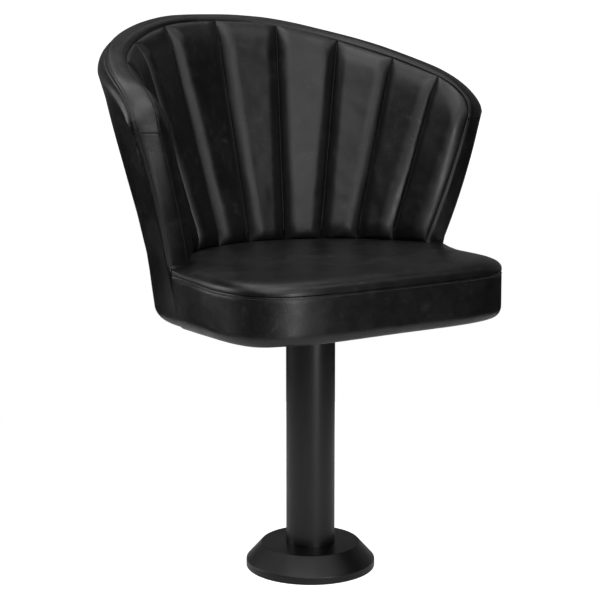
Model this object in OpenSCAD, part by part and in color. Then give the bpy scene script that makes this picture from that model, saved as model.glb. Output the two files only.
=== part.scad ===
// Pedestal swivel armchair: a fluted tub back and a round seat that turn on a fixed floor column.
// Millimetres. The origin is on the floor at the column's axis, +Z is up and the chair faces -Y.

/* [Floor fixing] */
// Diameter of the steel flange that is bolted to the floor
flange_d = 178; // [165:1:182]
// Thickness of the floor flange
flange_t = 10; // [6:1:12]
// Number of floor anchor holes
anchor_count = 4; // [3:1:6]
// Diameter of the circle that the anchor holes lie on
anchor_circle_d = 138; // [125:1:145]
// Diameter of one anchor hole
anchor_hole_d = 11; // [9:0.5:13]

/* [Base cover] */
// Outer diameter of the cover on the floor
cover_d = 202; // [196:1:240]
// Height of the cover's upright rim
cover_rim_h = 11; // [8:1:14]
// Diameter of the cover's flat top
cover_top_d = 153; // [140:1:165]
// Height of the cover's flat top above the floor
cover_h = 38; // [30:1:45]
// Sheet thickness of the cover
cover_wall = 2.5; // [1.5:0.5:3]

/* [Column] */
// Outer diameter of the column tube
column_d = 76.1; // [70:0.1:90]
// Wall of the column tube
column_wall = 2.9; // [2:0.1:4]
// Height of the column tube's top above the floor
column_top_z = 381; // [300:1:460]

/* [Swivel] */
// Diameter of the spindle where it turns in the bushes
spindle_d = 32; // [25:1:36]
// Running clearance on the radius between spindle and bushes
running_fit = 0.05; // [0.02:0.01:0.1]
// Wall of the two bushes
bush_wall = 6; // [3:0.5:8]
// Length of each bush
bush_h = 22; // [15:1:30]
// Length of the bearing housing inside the column
housing_h = 84; // [60:1:120]
// Thickness of the housing's top collar
housing_collar_h = 5; // [3:0.5:8]
// Thickness of the thrust washer
thrust_t = 3; // [2:0.5:5]
// Diameter of the spindle's head, which carries the seat plate
spindle_head_d = 90; // [80:1:110]
// Thickness of the spindle's head
spindle_head_t = 9; // [7:0.5:12]
// Thickness of the ring that keeps the spindle in
ring_t = 2; // [1.5:0.5:3]
// Thickness of the washer above that ring
retaining_washer_t = 2.5; // [1.5:0.5:3]

/* [Seat plate] */
// Distance from the bolt centres to the plate's edge
plate_margin = 20; // [16:1:30]
// Thickness of the seat plate
plate_t = 8; // [5:1:10]
// Corner radius of the seat plate
plate_corner_r = 16; // [8:1:20]
// Distance between bolt centres along one side
bolt_pitch = 150; // [130:1:160]
// Diameter of the seat bolts
bolt_d = 8; // [6:1:10]
// Thickness of the bolt washers
bolt_washer_t = 1.6; // [1:0.2:2]

/* [Seat] */
// How far the seat's side stands out from the arm's inner face
seat_side_step = 20.5; // [14:0.5:28]
// Distance from the column's axis to the front of the seat
seat_front = 229; // [215:1:260]
// How far in front of the axis the seat is widest
seat_widest = 40; // [20:1:60]
// Height of the seat's side from its underside to the top seam
boxing_h = 72; // [60:1:90]
// How squarely the front corners turn
corner_power = 4.7; // [3:0.1:6]
// Rise of the seat's crown above the top seam
crown_h = 21.5; // [10:0.5:30]
// Radius of the rounded lower edge
lower_edge_r = 16; // [12:1:22]
// Thickness of the plywood seat board
board_t = 18; // [12:1:22]
// Thickness of the leather and wadding round the seat
boxing_skin = 3; // [2:0.5:4]
// How far the seat's side swells to meet the arm
arm_flare = 12; // [4:1:16]

/* [Back] */
// Height of the inner rim seam above the floor at the middle of the back
rim_seam_z = 846.5; // [780:1:900]
// Radius of the inner rim seam round the column's axis
rim_seam_r = 275; // [260:1:290]
// Fall of the rim from the middle of the back to the last seam before the arm's corner
rim_drop = 88; // [60:1:105]
// Angle over which the top of the back stays level
rim_level_angle = 25; // [15:1:35]
// Height of the front corner's lower end above the seat's top seam
corner_rise = 229; // [200:1:250]
// Plan angle of the front corner from the middle of the back
corner_angle = 97; // [94:0.5:102]
// Plan angle of the arm's front edge where it meets the seat
foot_end_angle = 91.5; // [88:0.5:94]
// Radius of the inner back at the seat, at the middle
foot_back_r = 176; // [165:1:185]
// Radius of the inner back at the seat, at the arm fronts
foot_arm_r = 219.5; // [212:0.5:224]
// Height of the inner back's foot above the seat's top seam, at the middle
foot_back_rise = 14.8; // [8:0.2:18]
// Height of the inner back's foot above the seat's top seam, at the arm fronts
foot_arm_rise = 23; // [16:0.5:26]
// Thickness of the padded wall at the middle of the back
wall_back_t = 50; // [46:1:60]
// Thickness of the padded wall at the arm fronts
wall_arm_t = 38; // [34:0.5:44]
// Thickness of the rim at the middle of the back
rim_back_t = 43; // [40:1:46]

/* [Upholstery] */
// How far a flute stands out from its seams
flute_depth = 15; // [8:1:18]
// Width of a flute's rounded flank beside each seam
flute_flank_w = 23; // [16:1:26]
// Height of the border band's roll above its seams, at the middle of the back
border_roll_h = 7.5; // [5:0.5:11]
// Height of the border band's roll at the arms
border_arm_roll_h = 5; // [4:0.5:10]
// Thickness of the moulded shell inside the back
shell_t = 10; // [8:0.5:12]
// Thickness of the outer cover with its wadding
outer_skin = 5.7; // [4:0.1:6]

/* [Hidden] */

// Number of flutes on each side of the middle seam, one node each
flutes_side = 5;
// Gap between soft or shaped faces that lie against each other
seat_gap = 0.3;
// Gap behind the flutes and under the border band, where flat facets stand in for curves
facet_gap = 0.8;
// How far a cutter runs past the face that it cuts
overrun = 1;
// Facets of a true circle
round_fn = 96;

// Heights that follow from the column and the swivel
collar_top_z = column_top_z + housing_collar_h;
thrust_top_z = collar_top_z + thrust_t;
plate_bottom_z = thrust_top_z + spindle_head_t;
board_bottom_z = plate_bottom_z + plate_t;
board_top_z = board_bottom_z + board_t;
tuck_t = 2;
seat_bottom_z = board_bottom_z - tuck_t;
seam_z = seat_bottom_z + boxing_h;
ledge_z = seam_z - seat_gap;
corner_z = seam_z + corner_rise;

// Widths that follow from the bolts and the arms
plate_side = bolt_pitch + 2 * plate_margin;
seat_half_w = foot_arm_r + seat_side_step;

// Radii of the swivel's pieces
column_r = column_d / 2;
column_bore_r = column_r - column_wall;
spindle_r = spindle_d / 2;
bush_bore_r = spindle_r + running_fit;
bush_r = bush_bore_r + bush_wall;
housing_bottom_z = column_top_z - housing_h;
ring_groove_depth = 1.5;
ring_stand = 4;
ring_r = spindle_r + ring_stand;
ring_gap_angle = 30;
spindle_tail_h = 6;
washer_inset = 1;
washer_r = bush_r - washer_inset;
washer_top_z = housing_bottom_z - seat_gap;
ring_top_z = washer_top_z - retaining_washer_t;
spindle_bottom_z = ring_top_z - ring_t - spindle_tail_h;
spindle_chamfer = 2;

// Base
weld_leg = 6;
cover_fit = 0.3;
cover_edge_r = 2.2;
edge_round_steps = 4;

// Seat fixings
bolt_r = bolt_d / 2;
bolt_head_share = 0.81;
bolt_head_h_share = 0.66;
bolt_washer_share = 1.06;
bolt_head_r = bolt_d * bolt_head_share;
bolt_head_h = bolt_d * bolt_head_h_share;
bolt_clear = 0.5;
bolt_hole_r = bolt_r + bolt_clear;
bolt_washer_r = bolt_d * bolt_washer_share;
nut_clear = 0.05;
tee_wall = 1.6;
tee_barrel_r = bolt_r + tee_wall;
tee_flange_w = 7;
tee_flange_r = bolt_r + tee_flange_w;
tee_flange_t = 1.5;
tee_barrel_h = 12;
tuck_w = 25;
dust_t = 1;
dust_inset = 28;
dust_hole_gap = 6;
board_gap = 1;
board_inset = lower_edge_r + board_gap;

// Wall of the back
lower_lean_share = 0.06;
arm_extra_lean_share = 0.17;
seam_slowing_share = 0.15;
corner_reach_angle = 3.6;
rim_reach_angle = corner_angle + corner_reach_angle;
rim_curve_power = 3;
corner_lead_share = 0.08;
corner_dip_share = 0.11;
corner_reach = 28;
corner_out = 9.5;
arm_bow_h = 4.4;
bow_power = 6;
foot_power = 2.2;
foot_rise_power = 1.5;
arm_power = 2;
lean_power = 4;
outer_power = 4;
border_back_share = 0.74;
border_arm_share = 0.96;
shell_clear = seat_gap;
shell_bottom_z = seat_bottom_z + lower_edge_r / 2;
shell_toe = 3.4;
flute_back_t = shell_t + outer_skin + shell_clear + facet_gap;
rim_arm_share = 0.985;
rim_arm_t = wall_arm_t * rim_arm_share;
top_wall_rise = 12;
top_arm_rise = 6.5;

// Shell screws
screw_angle_step = 28;
screw_count = 7;
screw_r = 2.5;
screw_head_r = 4.6;
screw_head_h = 2.6;
screw_length = 28;
screw_sink = 3;
screw_height_share = 0.72;
screw_z = board_bottom_z + board_t * screw_height_share;

// Flutes
flute_crown_h = 2.5;
flute_foot_reach = 34;
flute_top_reach = 40;
flute_most_flank_share = 0.46;
flank_round_power = 2.2;
flank_steepness = 0.72;
end_steepness = 0.6;
flute_joint_share = 0.0025;

// Border band and the outer cover's shoulder
border_base = 1;
border_back_tilt = 4.5;
border_corner_dip = 18;
dip_lead_share = 1.4;
ease_start_share = 0.45;
ease_reach_share = 0.4;
arm_start_share = 0.6;
border_seat = border_base + facet_gap;
cross_seam_share = 0.05;
cross_gap_share = 0.0015;
edge_probe = 0.004;
shoulder_r = 14;
shoulder_end_r = 2;

// Mesh steps
flute_across_shares = [0, 0.05, 0.15, 0.3, 0.5, 0.7, 0.85, 0.95, 1];
flute_up_shares = [0, 0.01, 0.03, 0.07, 0.2, 0.4, 0.6, 0.78, 0.89, 0.94, 0.975, 1];
wall_across_shares = [0, 0.15, 0.5, 0.85];
wall_up_shares = [0, 0.2, 0.4, 0.6, 0.74, 0.84];
corner_steps = 14;
edge_steps = 12;

// Small helpers
function mix(a, b, share) = a + (b - a) * share;
function clamp(x, low, high) = max(low, min(high, x));
function smooth(x) = let (c = clamp(x, 0, 1)) c * c * (3 - 2 * c);
function on_ring(angle, radius, height) = [radius * sin(angle), radius * cos(angle), height];
function plan_length(p) = norm([p.x, p.y]);
function outward(p) = [p.x, p.y, 0] / plan_length(p);
function unit(v) = v / norm(v);
function pull_in(p, distance) = p * (1 - distance / plan_length(p));
function bezier(a, b, c, d, s) =
    a * pow(1 - s, 3) + b * 3 * s * pow(1 - s, 2) + c * 3 * s * s * (1 - s) + d * pow(s, 3);
function flip(p) = [-p.x, p.y, p.z];

// Lines of the back. A strip number runs from 0 at the middle seam to flutes_side at the arm front.
function slowed(share) = share * (1 + seam_slowing_share * (1 - share));
function foot_angle(k) = sign(k) * foot_end_angle * slowed(abs(k) / flutes_side);
function foot_radius(k) =
    foot_back_r + (foot_arm_r - foot_back_r) * pow(abs(foot_angle(k)) / foot_end_angle, foot_power);
function foot_height(k) =
    seam_z + mix(foot_back_rise, foot_arm_rise, pow(abs(k) / flutes_side, foot_rise_power));
function foot(k) = on_ring(foot_angle(k), foot_radius(k), foot_height(k));

// The rim stays level at the middle of the back and then falls steadily with the angle.
function rim_curve(angle) =
    pow(pow(angle, rim_curve_power) + pow(rim_level_angle, rim_curve_power), 1 / rim_curve_power)
    - rim_level_angle;
rim_last_angle = rim_reach_angle * slowed((flutes_side - 1) / flutes_side);
function rim_height(angle) = rim_seam_z - rim_drop * rim_curve(angle) / rim_curve(rim_last_angle);
rim_last = [rim_last_angle, rim_height(rim_last_angle)];
corner_lead = [rim_last_angle * corner_lead_share, -rim_drop * corner_dip_share];
corner_foot = [corner_angle, corner_z];
function rim_turn(k) =
    abs(k) <= flutes_side - 1
    ? let (a = rim_reach_angle * slowed(abs(k) / flutes_side)) [a, rim_height(a)]
    : bezier(rim_last, rim_last + corner_lead, corner_foot + [0, corner_reach], corner_foot,
        abs(k) - flutes_side + 1);
function rim(k) =
    let (t = rim_turn(k), r = rim_seam_r + corner_out * smooth(abs(k) - flutes_side + 1))
    on_ring(sign(k) * t[0], r, t[1]);

// A seam line between flutes. Towards the arm's front it bows forward.
function arm_bow(k, share) = arm_bow_h * sin(180 * share) * pow(abs(k) / flutes_side, bow_power);
function wall_point(k, share) = mix(foot(k), rim(k), share) - [0, arm_bow(k, share), 0];

// The border's path runs along the rim to the corner and then down the arm's front edge.
function edge_point(w) =
    abs(w) <= flutes_side ? rim(w)
    : let (k = sign(w) * flutes_side, s = abs(w) - flutes_side)
      s <= 1 ? wall_point(k, 1 - s)
      : [foot(k).x, foot(k).y, mix(foot(k).z, seam_z, s - 1)];
function edge_up(w) =
    unit(cross(edge_point(w + edge_probe) - edge_point(w - edge_probe), outward(edge_point(w))));
function edge_thickness(w) =
    abs(w) <= flutes_side ? rim_thickness(w) : mix(rim_arm_t, wall_arm_t, min(1, abs(w) - flutes_side));
function arm_share(k) =
    pow(clamp((abs(k) / flutes_side - arm_start_share) / (1 - arm_start_share), 0, 1), arm_power);
function wall_thickness(k) = mix(wall_back_t, wall_arm_t, arm_share(k));
function rim_thickness(k) = mix(rim_back_t, rim_arm_t, arm_share(k));
function border_share(w) =
    mix(border_back_share, border_arm_share,
        smooth((abs(w) / flutes_side - arm_start_share) / (1 - arm_start_share)));
function border_ease(w) = smooth((abs(w) / flutes_side - ease_start_share) / ease_reach_share);
function border_roll(w) = mix(border_roll_h, border_arm_roll_h, border_ease(w));
// The outer seam stands above the inner one at the back, falls behind it round the corner and
// comes level with it again at the seat.
function corner_dip(w) =
    let (past = abs(w) - flutes_side)
    border_corner_dip * (past < 0 ? smooth(1 + past / dip_lead_share) : 1 - min(1, past));
function border_tilt(w) = mix(border_back_tilt, 0, border_ease(w)) - corner_dip(w);
function band_width(w) = edge_thickness(w) * border_share(w);
function band_drop(w, t) = min(0, border_tilt(w)) * clamp(t / band_width(w), 0, 1);

// The last strip draws back, so that it ends behind the border band at the arm's front, and behind
// the seat's side below the band.
function last_share(k) = pow(max(0, abs(k) - flutes_side + 1), 2);
function set_back(k, w, distance) = -last_share(k) * distance * edge_up(sign(k) * w);

// A point in the wall: share is the way up from foot to rim, t the distance out from the seam lines.
function up_point(k, share, t) =
    let (p = wall_point(k, share), w = flutes_side + 1 - share)
    p + set_back(k, w, border_seat - band_drop(w, t)) + t * outward(p);
function low_point(k, z, t) =
    let (p = foot(k) + set_back(k, flutes_side + 2, z < seam_z ? seat_gap : border_seat))
    [p.x, p.y, z] + t * outward(p);
function above_point(k, rise, t) = let (p = rim(k)) p + t * outward(p) + rise * edge_up(k);
// A point just under the border band
function seated_point(k, t) = above_point(k, band_drop(k, t) - border_seat, t);
function outer_t(k, share) = mix(wall_thickness(k), rim_thickness(k), pow(share, outer_power));
function low_lean(k) =
    lower_lean_share + arm_extra_lean_share * pow(abs(k) / flutes_side, lean_power);
function low_outer_t(k, z) = wall_thickness(k) - low_lean(k) * (foot_height(k) - z);

// Outline of the seat in front of the arms, from the right arm's seam to the front's middle
seam_start = [sin(foot_end_angle), cos(foot_end_angle)];
function side_x(y) = seat_half_w * sqrt(1 - pow((y + seat_widest) / (seat_half_w * 2), 2));
function front_point(a) =
    [seat_half_w * pow(cos(a), 2 / corner_power),
        -seat_widest - (seat_front - seat_widest) * pow(sin(a), 2 / corner_power)];
arm_seam_y = seat_half_w * seam_start[1] - seat_gap;
side_shares = [0, 0.33, 0.7];
side_ys = [for (share = side_shares) mix(arm_seam_y, -seat_widest, share)];
function turn_angle(i) = 90 * (1 - cos(180 * i / corner_steps)) / 2;
front_half = concat(
    [for (y = side_ys) [side_x(y), y]],
    [for (i = [0 : corner_steps]) front_point(turn_angle(i))]
);
front_line = concat(
    front_half,
    [for (i = [len(front_half) - 2 : -1 : 0]) [-front_half[i].x, front_half[i].y]]
);
flare_reach = 90;
function flare_at(p) = smooth(1 - (arm_seam_y - p.y) / flare_reach);
function side_point(p, z, inset) =
    let (
        up_share = clamp((z - seat_bottom_z) / boxing_h, 0, 1),
        swell = arm_flare * up_share * flare_at(p) - inset,
        q = [p.x, p.y] * (1 + swell / norm([p.x, p.y]))
    )
    [q.x, q.y, z];

// Strip numbers of the wall's stations, close together in the last strip
wall_half = concat(
    [for (strip = [0 : flutes_side - 2]) for (share = wall_across_shares) strip + share],
    [for (share = flute_across_shares) flutes_side - 1 + share]
);
wall_ks = concat([for (i = [len(wall_half) - 1 : -1 : 1]) -wall_half[i]], wall_half);

// Solids from grids of points. A slab fills the space between two like grids.
function flat_list(rows) = [for (row = rows) each row];
function grid_faces(stations, rows, first, reverse) = [
    for (i = [0 : stations - 2]) for (j = [0 : rows - 2])
        let (
            a = first + i * rows + j,
            b = a + rows,
            c = b + 1,
            d = a + 1
        )
        each (reverse ? [[a, c, b], [a, d, c]] : [[a, b, c], [a, c, d]])
];
function strip_faces(front, back, reverse) = [
    for (i = [0 : len(front) - 2])
        let (a = front[i], b = front[i + 1], c = back[i + 1], d = back[i])
        each (reverse ? [[a, b, c], [a, c, d]] : [[a, c, b], [a, d, c]])
];
module slab(outer, inner) {
    stations = len(outer);
    rows = len(outer[0]);
    count = stations * rows;
    left = [for (j = [0 : rows - 1]) j];
    right = [for (j = [0 : rows - 1]) (stations - 1) * rows + j];
    bottom = [for (i = [0 : stations - 1]) i * rows];
    top = [for (i = [0 : stations - 1]) i * rows + rows - 1];
    polyhedron(
        points = concat(flat_list(outer), flat_list(inner)),
        faces = concat(
            grid_faces(stations, rows, 0, false),
            grid_faces(stations, rows, count, true),
            strip_faces(left, [for (n = left) n + count], true),
            strip_faces(right, [for (n = right) n + count], false),
            strip_faces(bottom, [for (n = bottom) n + count], false),
            strip_faces(top, [for (n = top) n + count], true)
        )
    );
}

// A loft joins closed rings of equal length and closes both ends to a middle point.
function middle(ring) = [for (axis = [0 : 2]) [for (p = ring) p[axis]] * [for (p = ring) 1 / len(ring)]];
module loft(rings) {
    size = len(rings[0]);
    last = (len(rings) - 1) * size;
    start_hub = len(rings) * size;
    polyhedron(
        points = concat(flat_list(rings), [middle(rings[0]), middle(rings[len(rings) - 1])]),
        faces = concat(
            [
                for (i = [0 : len(rings) - 2]) for (j = [0 : size - 1])
                    let (
                        a = i * size + j,
                        b = i * size + (j + 1) % size,
                        c = b + size,
                        d = a + size
                    )
                    each [[a, b, c], [a, c, d]]
            ],
            [for (j = [0 : size - 1]) [start_hub, (j + 1) % size, j]],
            [for (j = [0 : size - 1]) [start_hub + 1, last + j, last + (j + 1) % size]]
        )
    );
}

// The pedestal, which stays still
module ring_solid(outer_r, inner_r, low_z, high_z) {
    translate([0, 0, low_z])
        difference() {
            cylinder(r = outer_r, h = high_z - low_z, $fn = round_fn);
            translate([0, 0, -overrun])
                cylinder(r = inner_r, h = high_z - low_z + 2 * overrun, $fn = round_fn);
        }
}

module floor_flange() {
    color("dimgray")
        difference() {
            union() {
                cylinder(d = flange_d, h = flange_t, $fn = round_fn);
                rotate_extrude($fn = round_fn)
                    polygon([
                        [column_r, flange_t], [column_r + weld_leg, flange_t],
                        [column_r, flange_t + weld_leg]
                    ]);
            }
            for (i = [0 : anchor_count - 1])
                rotate([0, 0, 360 / anchor_count * (i + 0.5)])
                    translate([anchor_circle_d / 2, 0, -overrun])
                        cylinder(d = anchor_hole_d, h = flange_t + 2 * overrun, $fn = round_fn);
        }
}

module column_tube() {
    color("#161616") ring_solid(column_r, column_bore_r, flange_t, column_top_z);
}

function round_corner(center, radius, from, to) =
    [for (i = [0 : edge_round_steps])
        let (a = mix(from, to, i / edge_round_steps)) center + radius * [cos(a), sin(a)]];

module base_cover() {
    cone_angle = atan2(cover_h - cover_rim_h, (cover_d - cover_top_d) / 2);
    rim_r = cover_d / 2;
    top_r = cover_top_d / 2;
    edge_back = cover_edge_r * tan(cone_angle / 2);
    rim_turn_back = cover_edge_r * tan((90 - cone_angle) / 2);
    inner_drop = cover_wall * tan(cone_angle / 2);
    color("#161616")
        rotate_extrude($fn = round_fn)
            polygon(concat(
                [[rim_r - cover_wall, 0], [rim_r, 0]],
                round_corner([rim_r - cover_edge_r, cover_rim_h - rim_turn_back], cover_edge_r,
                    0, 90 - cone_angle),
                round_corner([top_r - edge_back, cover_h - cover_edge_r], cover_edge_r,
                    90 - cone_angle, 90),
                [
                    [column_r + cover_fit, cover_h],
                    [column_r + cover_fit, cover_h - cover_wall],
                    [top_r - inner_drop, cover_h - cover_wall],
                    [rim_r - cover_wall, cover_rim_h - cover_wall * tan((90 - cone_angle) / 2)]
                ]
            ));
}

module bearing_housing() {
    color("silver")
        difference() {
            union() {
                translate([0, 0, housing_bottom_z])
                    cylinder(r = column_bore_r, h = housing_h, $fn = round_fn);
                translate([0, 0, column_top_z])
                    cylinder(r = column_r, h = housing_collar_h, $fn = round_fn);
            }
            translate([0, 0, housing_bottom_z - overrun])
                cylinder(r = bush_r, h = housing_h + housing_collar_h + 2 * overrun, $fn = round_fn);
        }
}

module lower_bush() {
    color("ivory") ring_solid(bush_r, bush_bore_r, housing_bottom_z, housing_bottom_z + bush_h);
}

module upper_bush() {
    color("ivory") ring_solid(bush_r, bush_bore_r, collar_top_z - bush_h, collar_top_z);
}

module thrust_washer() {
    color("ivory") ring_solid(column_r - seat_gap, bush_bore_r, collar_top_z, thrust_top_z);
}

// The swivelling seat's metalwork
module spindle() {
    groove_r = spindle_r - ring_groove_depth;
    color("silver")
        rotate_extrude($fn = round_fn)
            polygon([
                [0, spindle_bottom_z], [spindle_r - spindle_chamfer, spindle_bottom_z],
                [spindle_r, spindle_bottom_z + spindle_chamfer], [spindle_r, ring_top_z - ring_t],
                [groove_r, ring_top_z - ring_t], [groove_r, ring_top_z], [spindle_r, ring_top_z],
                [spindle_r, thrust_top_z], [spindle_head_d / 2, thrust_top_z],
                [spindle_head_d / 2, plate_bottom_z], [0, plate_bottom_z]
            ]);
}

module retaining_washer() {
    color("silver") ring_solid(washer_r, bush_bore_r, ring_top_z, washer_top_z);
}

module retaining_ring() {
    color("gray")
        difference() {
            ring_solid(ring_r, spindle_r - ring_groove_depth, ring_top_z - ring_t, ring_top_z);
            translate([0, 0, ring_top_z - ring_t - overrun])
                linear_extrude(ring_t + 2 * overrun)
                    polygon([
                        [0, 0], 2 * ring_r * [sin(ring_gap_angle), cos(ring_gap_angle)],
                        2 * ring_r * [-sin(ring_gap_angle), cos(ring_gap_angle)]
                    ]);
        }
}

module at_bolts() {
    for (x = [-bolt_pitch / 2, bolt_pitch / 2]) for (y = [-bolt_pitch / 2, bolt_pitch / 2])
        translate([x, y, 0]) children();
}

module seat_plate() {
    inner_side = plate_side - 2 * plate_corner_r;
    color("dimgray")
        difference() {
            translate([0, 0, plate_bottom_z])
                linear_extrude(plate_t)
                    union() {
                        square([plate_side, inner_side], center = true);
                        square([inner_side, plate_side], center = true);
                        for (x = [-1, 1] * inner_side / 2) for (y = [-1, 1] * inner_side / 2)
                            translate([x, y]) circle(r = plate_corner_r, $fn = round_fn);
                    }
            at_bolts()
                translate([0, 0, plate_bottom_z - overrun])
                    cylinder(r = bolt_hole_r, h = plate_t + 2 * overrun, $fn = round_fn);
        }
}

module plate_bolts() {
    color("silver")
        at_bolts()
            union() {
                translate([0, 0, plate_bottom_z - bolt_washer_t - bolt_head_h])
                    cylinder(r = bolt_head_r, h = bolt_head_h, $fn = 6);
                translate([0, 0, plate_bottom_z - bolt_washer_t])
                    cylinder(r = bolt_r, h = bolt_washer_t + plate_t + board_t, $fn = round_fn);
            }
}

module plate_washers() {
    color("silver")
        at_bolts() ring_solid(bolt_washer_r, bolt_hole_r, plate_bottom_z - bolt_washer_t, plate_bottom_z);
}

module tee_nuts() {
    color("gray")
        at_bolts()
            difference() {
                union() {
                    translate([0, 0, board_top_z - tee_barrel_h])
                        cylinder(r = tee_barrel_r, h = tee_barrel_h, $fn = round_fn);
                    translate([0, 0, board_top_z - tee_flange_t])
                        cylinder(r = tee_flange_r, h = tee_flange_t, $fn = round_fn);
                }
                translate([0, 0, board_top_z - tee_barrel_h - overrun])
                    cylinder(r = bolt_r + nut_clear, h = tee_barrel_h + 2 * overrun, $fn = round_fn);
            }
}

// Outlines of the seat's flat layers, closed anticlockwise from above
function back_outline(z, out_t) = [
    for (k = wall_ks) let (p = low_point(k, z, low_outer_t(k, z) - out_t)) [p.x, p.y]
];
function plan_of(points) = [for (p = points) [p.x, p.y]];
shell_inner_out = outer_skin + shell_clear + shell_t + seat_gap;
board_back = back_outline(shell_bottom_z, shell_inner_out);
function front_outline(z, inset) = plan_of([for (p = front_line) side_point(p, z, inset)]);

module screw_axes() {
    for (i = [0 : screw_count - 1]) {
        turn = screw_angle_step * (i - (screw_count - 1) / 2);
        rotate([0, 0, -turn]) translate([0, screw_start_r(turn), screw_z]) rotate([90, 0, 0]) children();
    }
}
function strip_at(angle, low = 0, high = flutes_side, tries = 12) =
    tries == 0 ? (low + high) / 2
    : let (k = (low + high) / 2)
      foot_angle(k) < abs(angle) ? strip_at(angle, k, high, tries - 1) : strip_at(angle, low, k, tries - 1);
// Radius at which a screw's head lies, sunk into the outer face of the shell
function screw_start_r(angle) =
    let (k = strip_at(angle), shell_out = outer_skin + shell_clear)
    foot_radius(k) + low_outer_t(k, screw_z) - shell_out - screw_sink;

module seat_board() {
    color("burlywood")
        difference() {
            translate([0, 0, board_bottom_z])
                linear_extrude(board_t)
                    polygon(concat(board_back, front_outline(seat_bottom_z, board_inset)));
            at_bolts()
                union() {
                    translate([0, 0, board_bottom_z - overrun])
                        cylinder(r = tee_barrel_r, h = board_t + 2 * overrun, $fn = round_fn);
                    translate([0, 0, board_top_z - tee_flange_t])
                        cylinder(r = tee_flange_r, h = tee_flange_t + overrun, $fn = round_fn);
                }
            screw_axes() cylinder(r = screw_r, h = screw_length + overrun, $fn = round_fn);
        }
}

module dust_cover() {
    hole = plate_side + 2 * dust_hole_gap;
    color("#202020")
        translate([0, 0, seat_bottom_z - dust_t])
            linear_extrude(dust_t)
                difference() {
                    polygon(concat(
                        back_outline(shell_bottom_z, shell_inner_out + dust_inset - lower_edge_r),
                        front_outline(seat_bottom_z, dust_inset)
                    ));
                    square(hole, center = true);
                }
}

// Seat upholstery
module seat_foam() {
    color("khaki")
        translate([0, 0, board_top_z])
            linear_extrude(ledge_z - board_top_z)
                polygon(concat(
                    back_outline(board_top_z, shell_inner_out),
                    front_outline(board_top_z, boxing_skin + seat_gap)
                ));
}

crown_lip = 1;
crown_lift_reach = 33;
// The top's outline runs along the wall's foot, round the foot of each border band and along the
// front. Each of its points holds the height of the top's edge above the seam.
function crown_back(k) =
    let (p = pull_in(on_ring(foot_angle(k), foot_radius(k), 0), 2 * seat_gap)) [p.x, p.y, top_wall_rise];
crown_ks = [for (i = [-2 * flutes_side : 2 * flutes_side]) i / 2];
crown_open_y = arm_seam_y - border_arm_roll_h - facet_gap;
crown_arm = [crown_back(flutes_side).x, crown_open_y, top_wall_rise];
function crown_side(p) =
    let (q = side_point(p, seam_z, 0), share = smooth((p.y + seat_widest) / crown_lift_reach))
    [q.x, q.y, mix(crown_lip, top_arm_rise, share)];
crown_corner = crown_side([side_x(crown_open_y), crown_open_y]);
crown_front = [for (p = front_line) if (p.y < crown_open_y) crown_side(p)];
crown_line = concat(
    [for (k = crown_ks) crown_back(k)], [crown_arm, crown_corner], crown_front,
    [flip(crown_corner), flip(crown_arm)]
);
crown_ring_shares = [1, 0.985, 0.955, 0.91, 0.84, 0.72, 0.52, 0.26];
crown_edge_power = 8;
crown_middle = [0, -seat_widest / 2, 0];
function crown_swell(share) = sqrt(1 - pow(share, crown_edge_power));
function crown_ring(share) = [
    for (p = crown_line)
        let (q = mix(crown_middle, p, share))
        [q.x, q.y, seam_z + mix(p.z, crown_h, crown_swell(share))]
];
module seat_top() {
    base_ring = [for (p = crown_line) [p.x, p.y, seam_z]];
    color("#1b1b1b") loft(concat([base_ring], [for (s = crown_ring_shares) crown_ring(s)]));
}

// The lower edge's round, from the tuck under the board up to the side's straight part
edge_turns = [0, 30, 60, 90];
function edge_in(angle) = lower_edge_r * (1 - sin(angle));
function edge_rise_at(angle) = lower_edge_r * (1 - cos(angle));
function skin_in(angle, skin) = lower_edge_r - (lower_edge_r - skin) * sin(angle);
function skin_rise(angle, skin) = lower_edge_r - (lower_edge_r - mix(tuck_t, skin, sin(angle))) * cos(angle);
boxing_up_shares = [0.5, 1];
boxing_low_z = seat_bottom_z + lower_edge_r;

function boxing_outer(p) = concat(
    [side_point(p, seat_bottom_z, lower_edge_r + tuck_w)],
    [for (a = edge_turns) side_point(p, seat_bottom_z + edge_rise_at(a), edge_in(a))],
    [for (s = boxing_up_shares) side_point(p, mix(boxing_low_z, ledge_z, s), 0)]
);
function boxing_inner(p) = concat(
    [side_point(p, seat_bottom_z + tuck_t, lower_edge_r + tuck_w)],
    [for (a = edge_turns)
        side_point(p, seat_bottom_z + skin_rise(a, boxing_skin), skin_in(a, boxing_skin))],
    [for (s = boxing_up_shares) side_point(p, mix(boxing_low_z, ledge_z, s), boxing_skin)]
);
module seat_boxing() {
    color("#1b1b1b")
        slab([for (p = front_line) boxing_outer(p)], [for (p = front_line) boxing_inner(p)]);
}

// Back shell and its screws
function shell_rows(k, out_t, toe) = concat(
    [
        low_point(k, shell_bottom_z, low_outer_t(k, shell_bottom_z) - out_t - toe),
        low_point(k, boxing_low_z, low_outer_t(k, boxing_low_z) - out_t),
        low_point(k, seam_z, low_outer_t(k, seam_z) - out_t)
    ],
    [for (s = wall_up_shares) up_point(k, s, outer_t(k, s) - out_t)],
    [seated_point(k, rim_thickness(k) - out_t)]
);
module back_shell() {
    out_t = outer_skin + shell_clear;
    color("burlywood")
        difference() {
            slab(
                [for (k = wall_ks) shell_rows(k, out_t, shell_toe)],
                [for (k = wall_ks) shell_rows(k, out_t + shell_t, 0)]
            );
            screw_axes()
                translate([0, 0, -shell_t])
                    union() {
                        cylinder(r = screw_head_r, h = shell_t + screw_head_h, $fn = round_fn);
                        cylinder(r = screw_r, h = 3 * shell_t, $fn = round_fn);
                    }
        }
}

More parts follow.
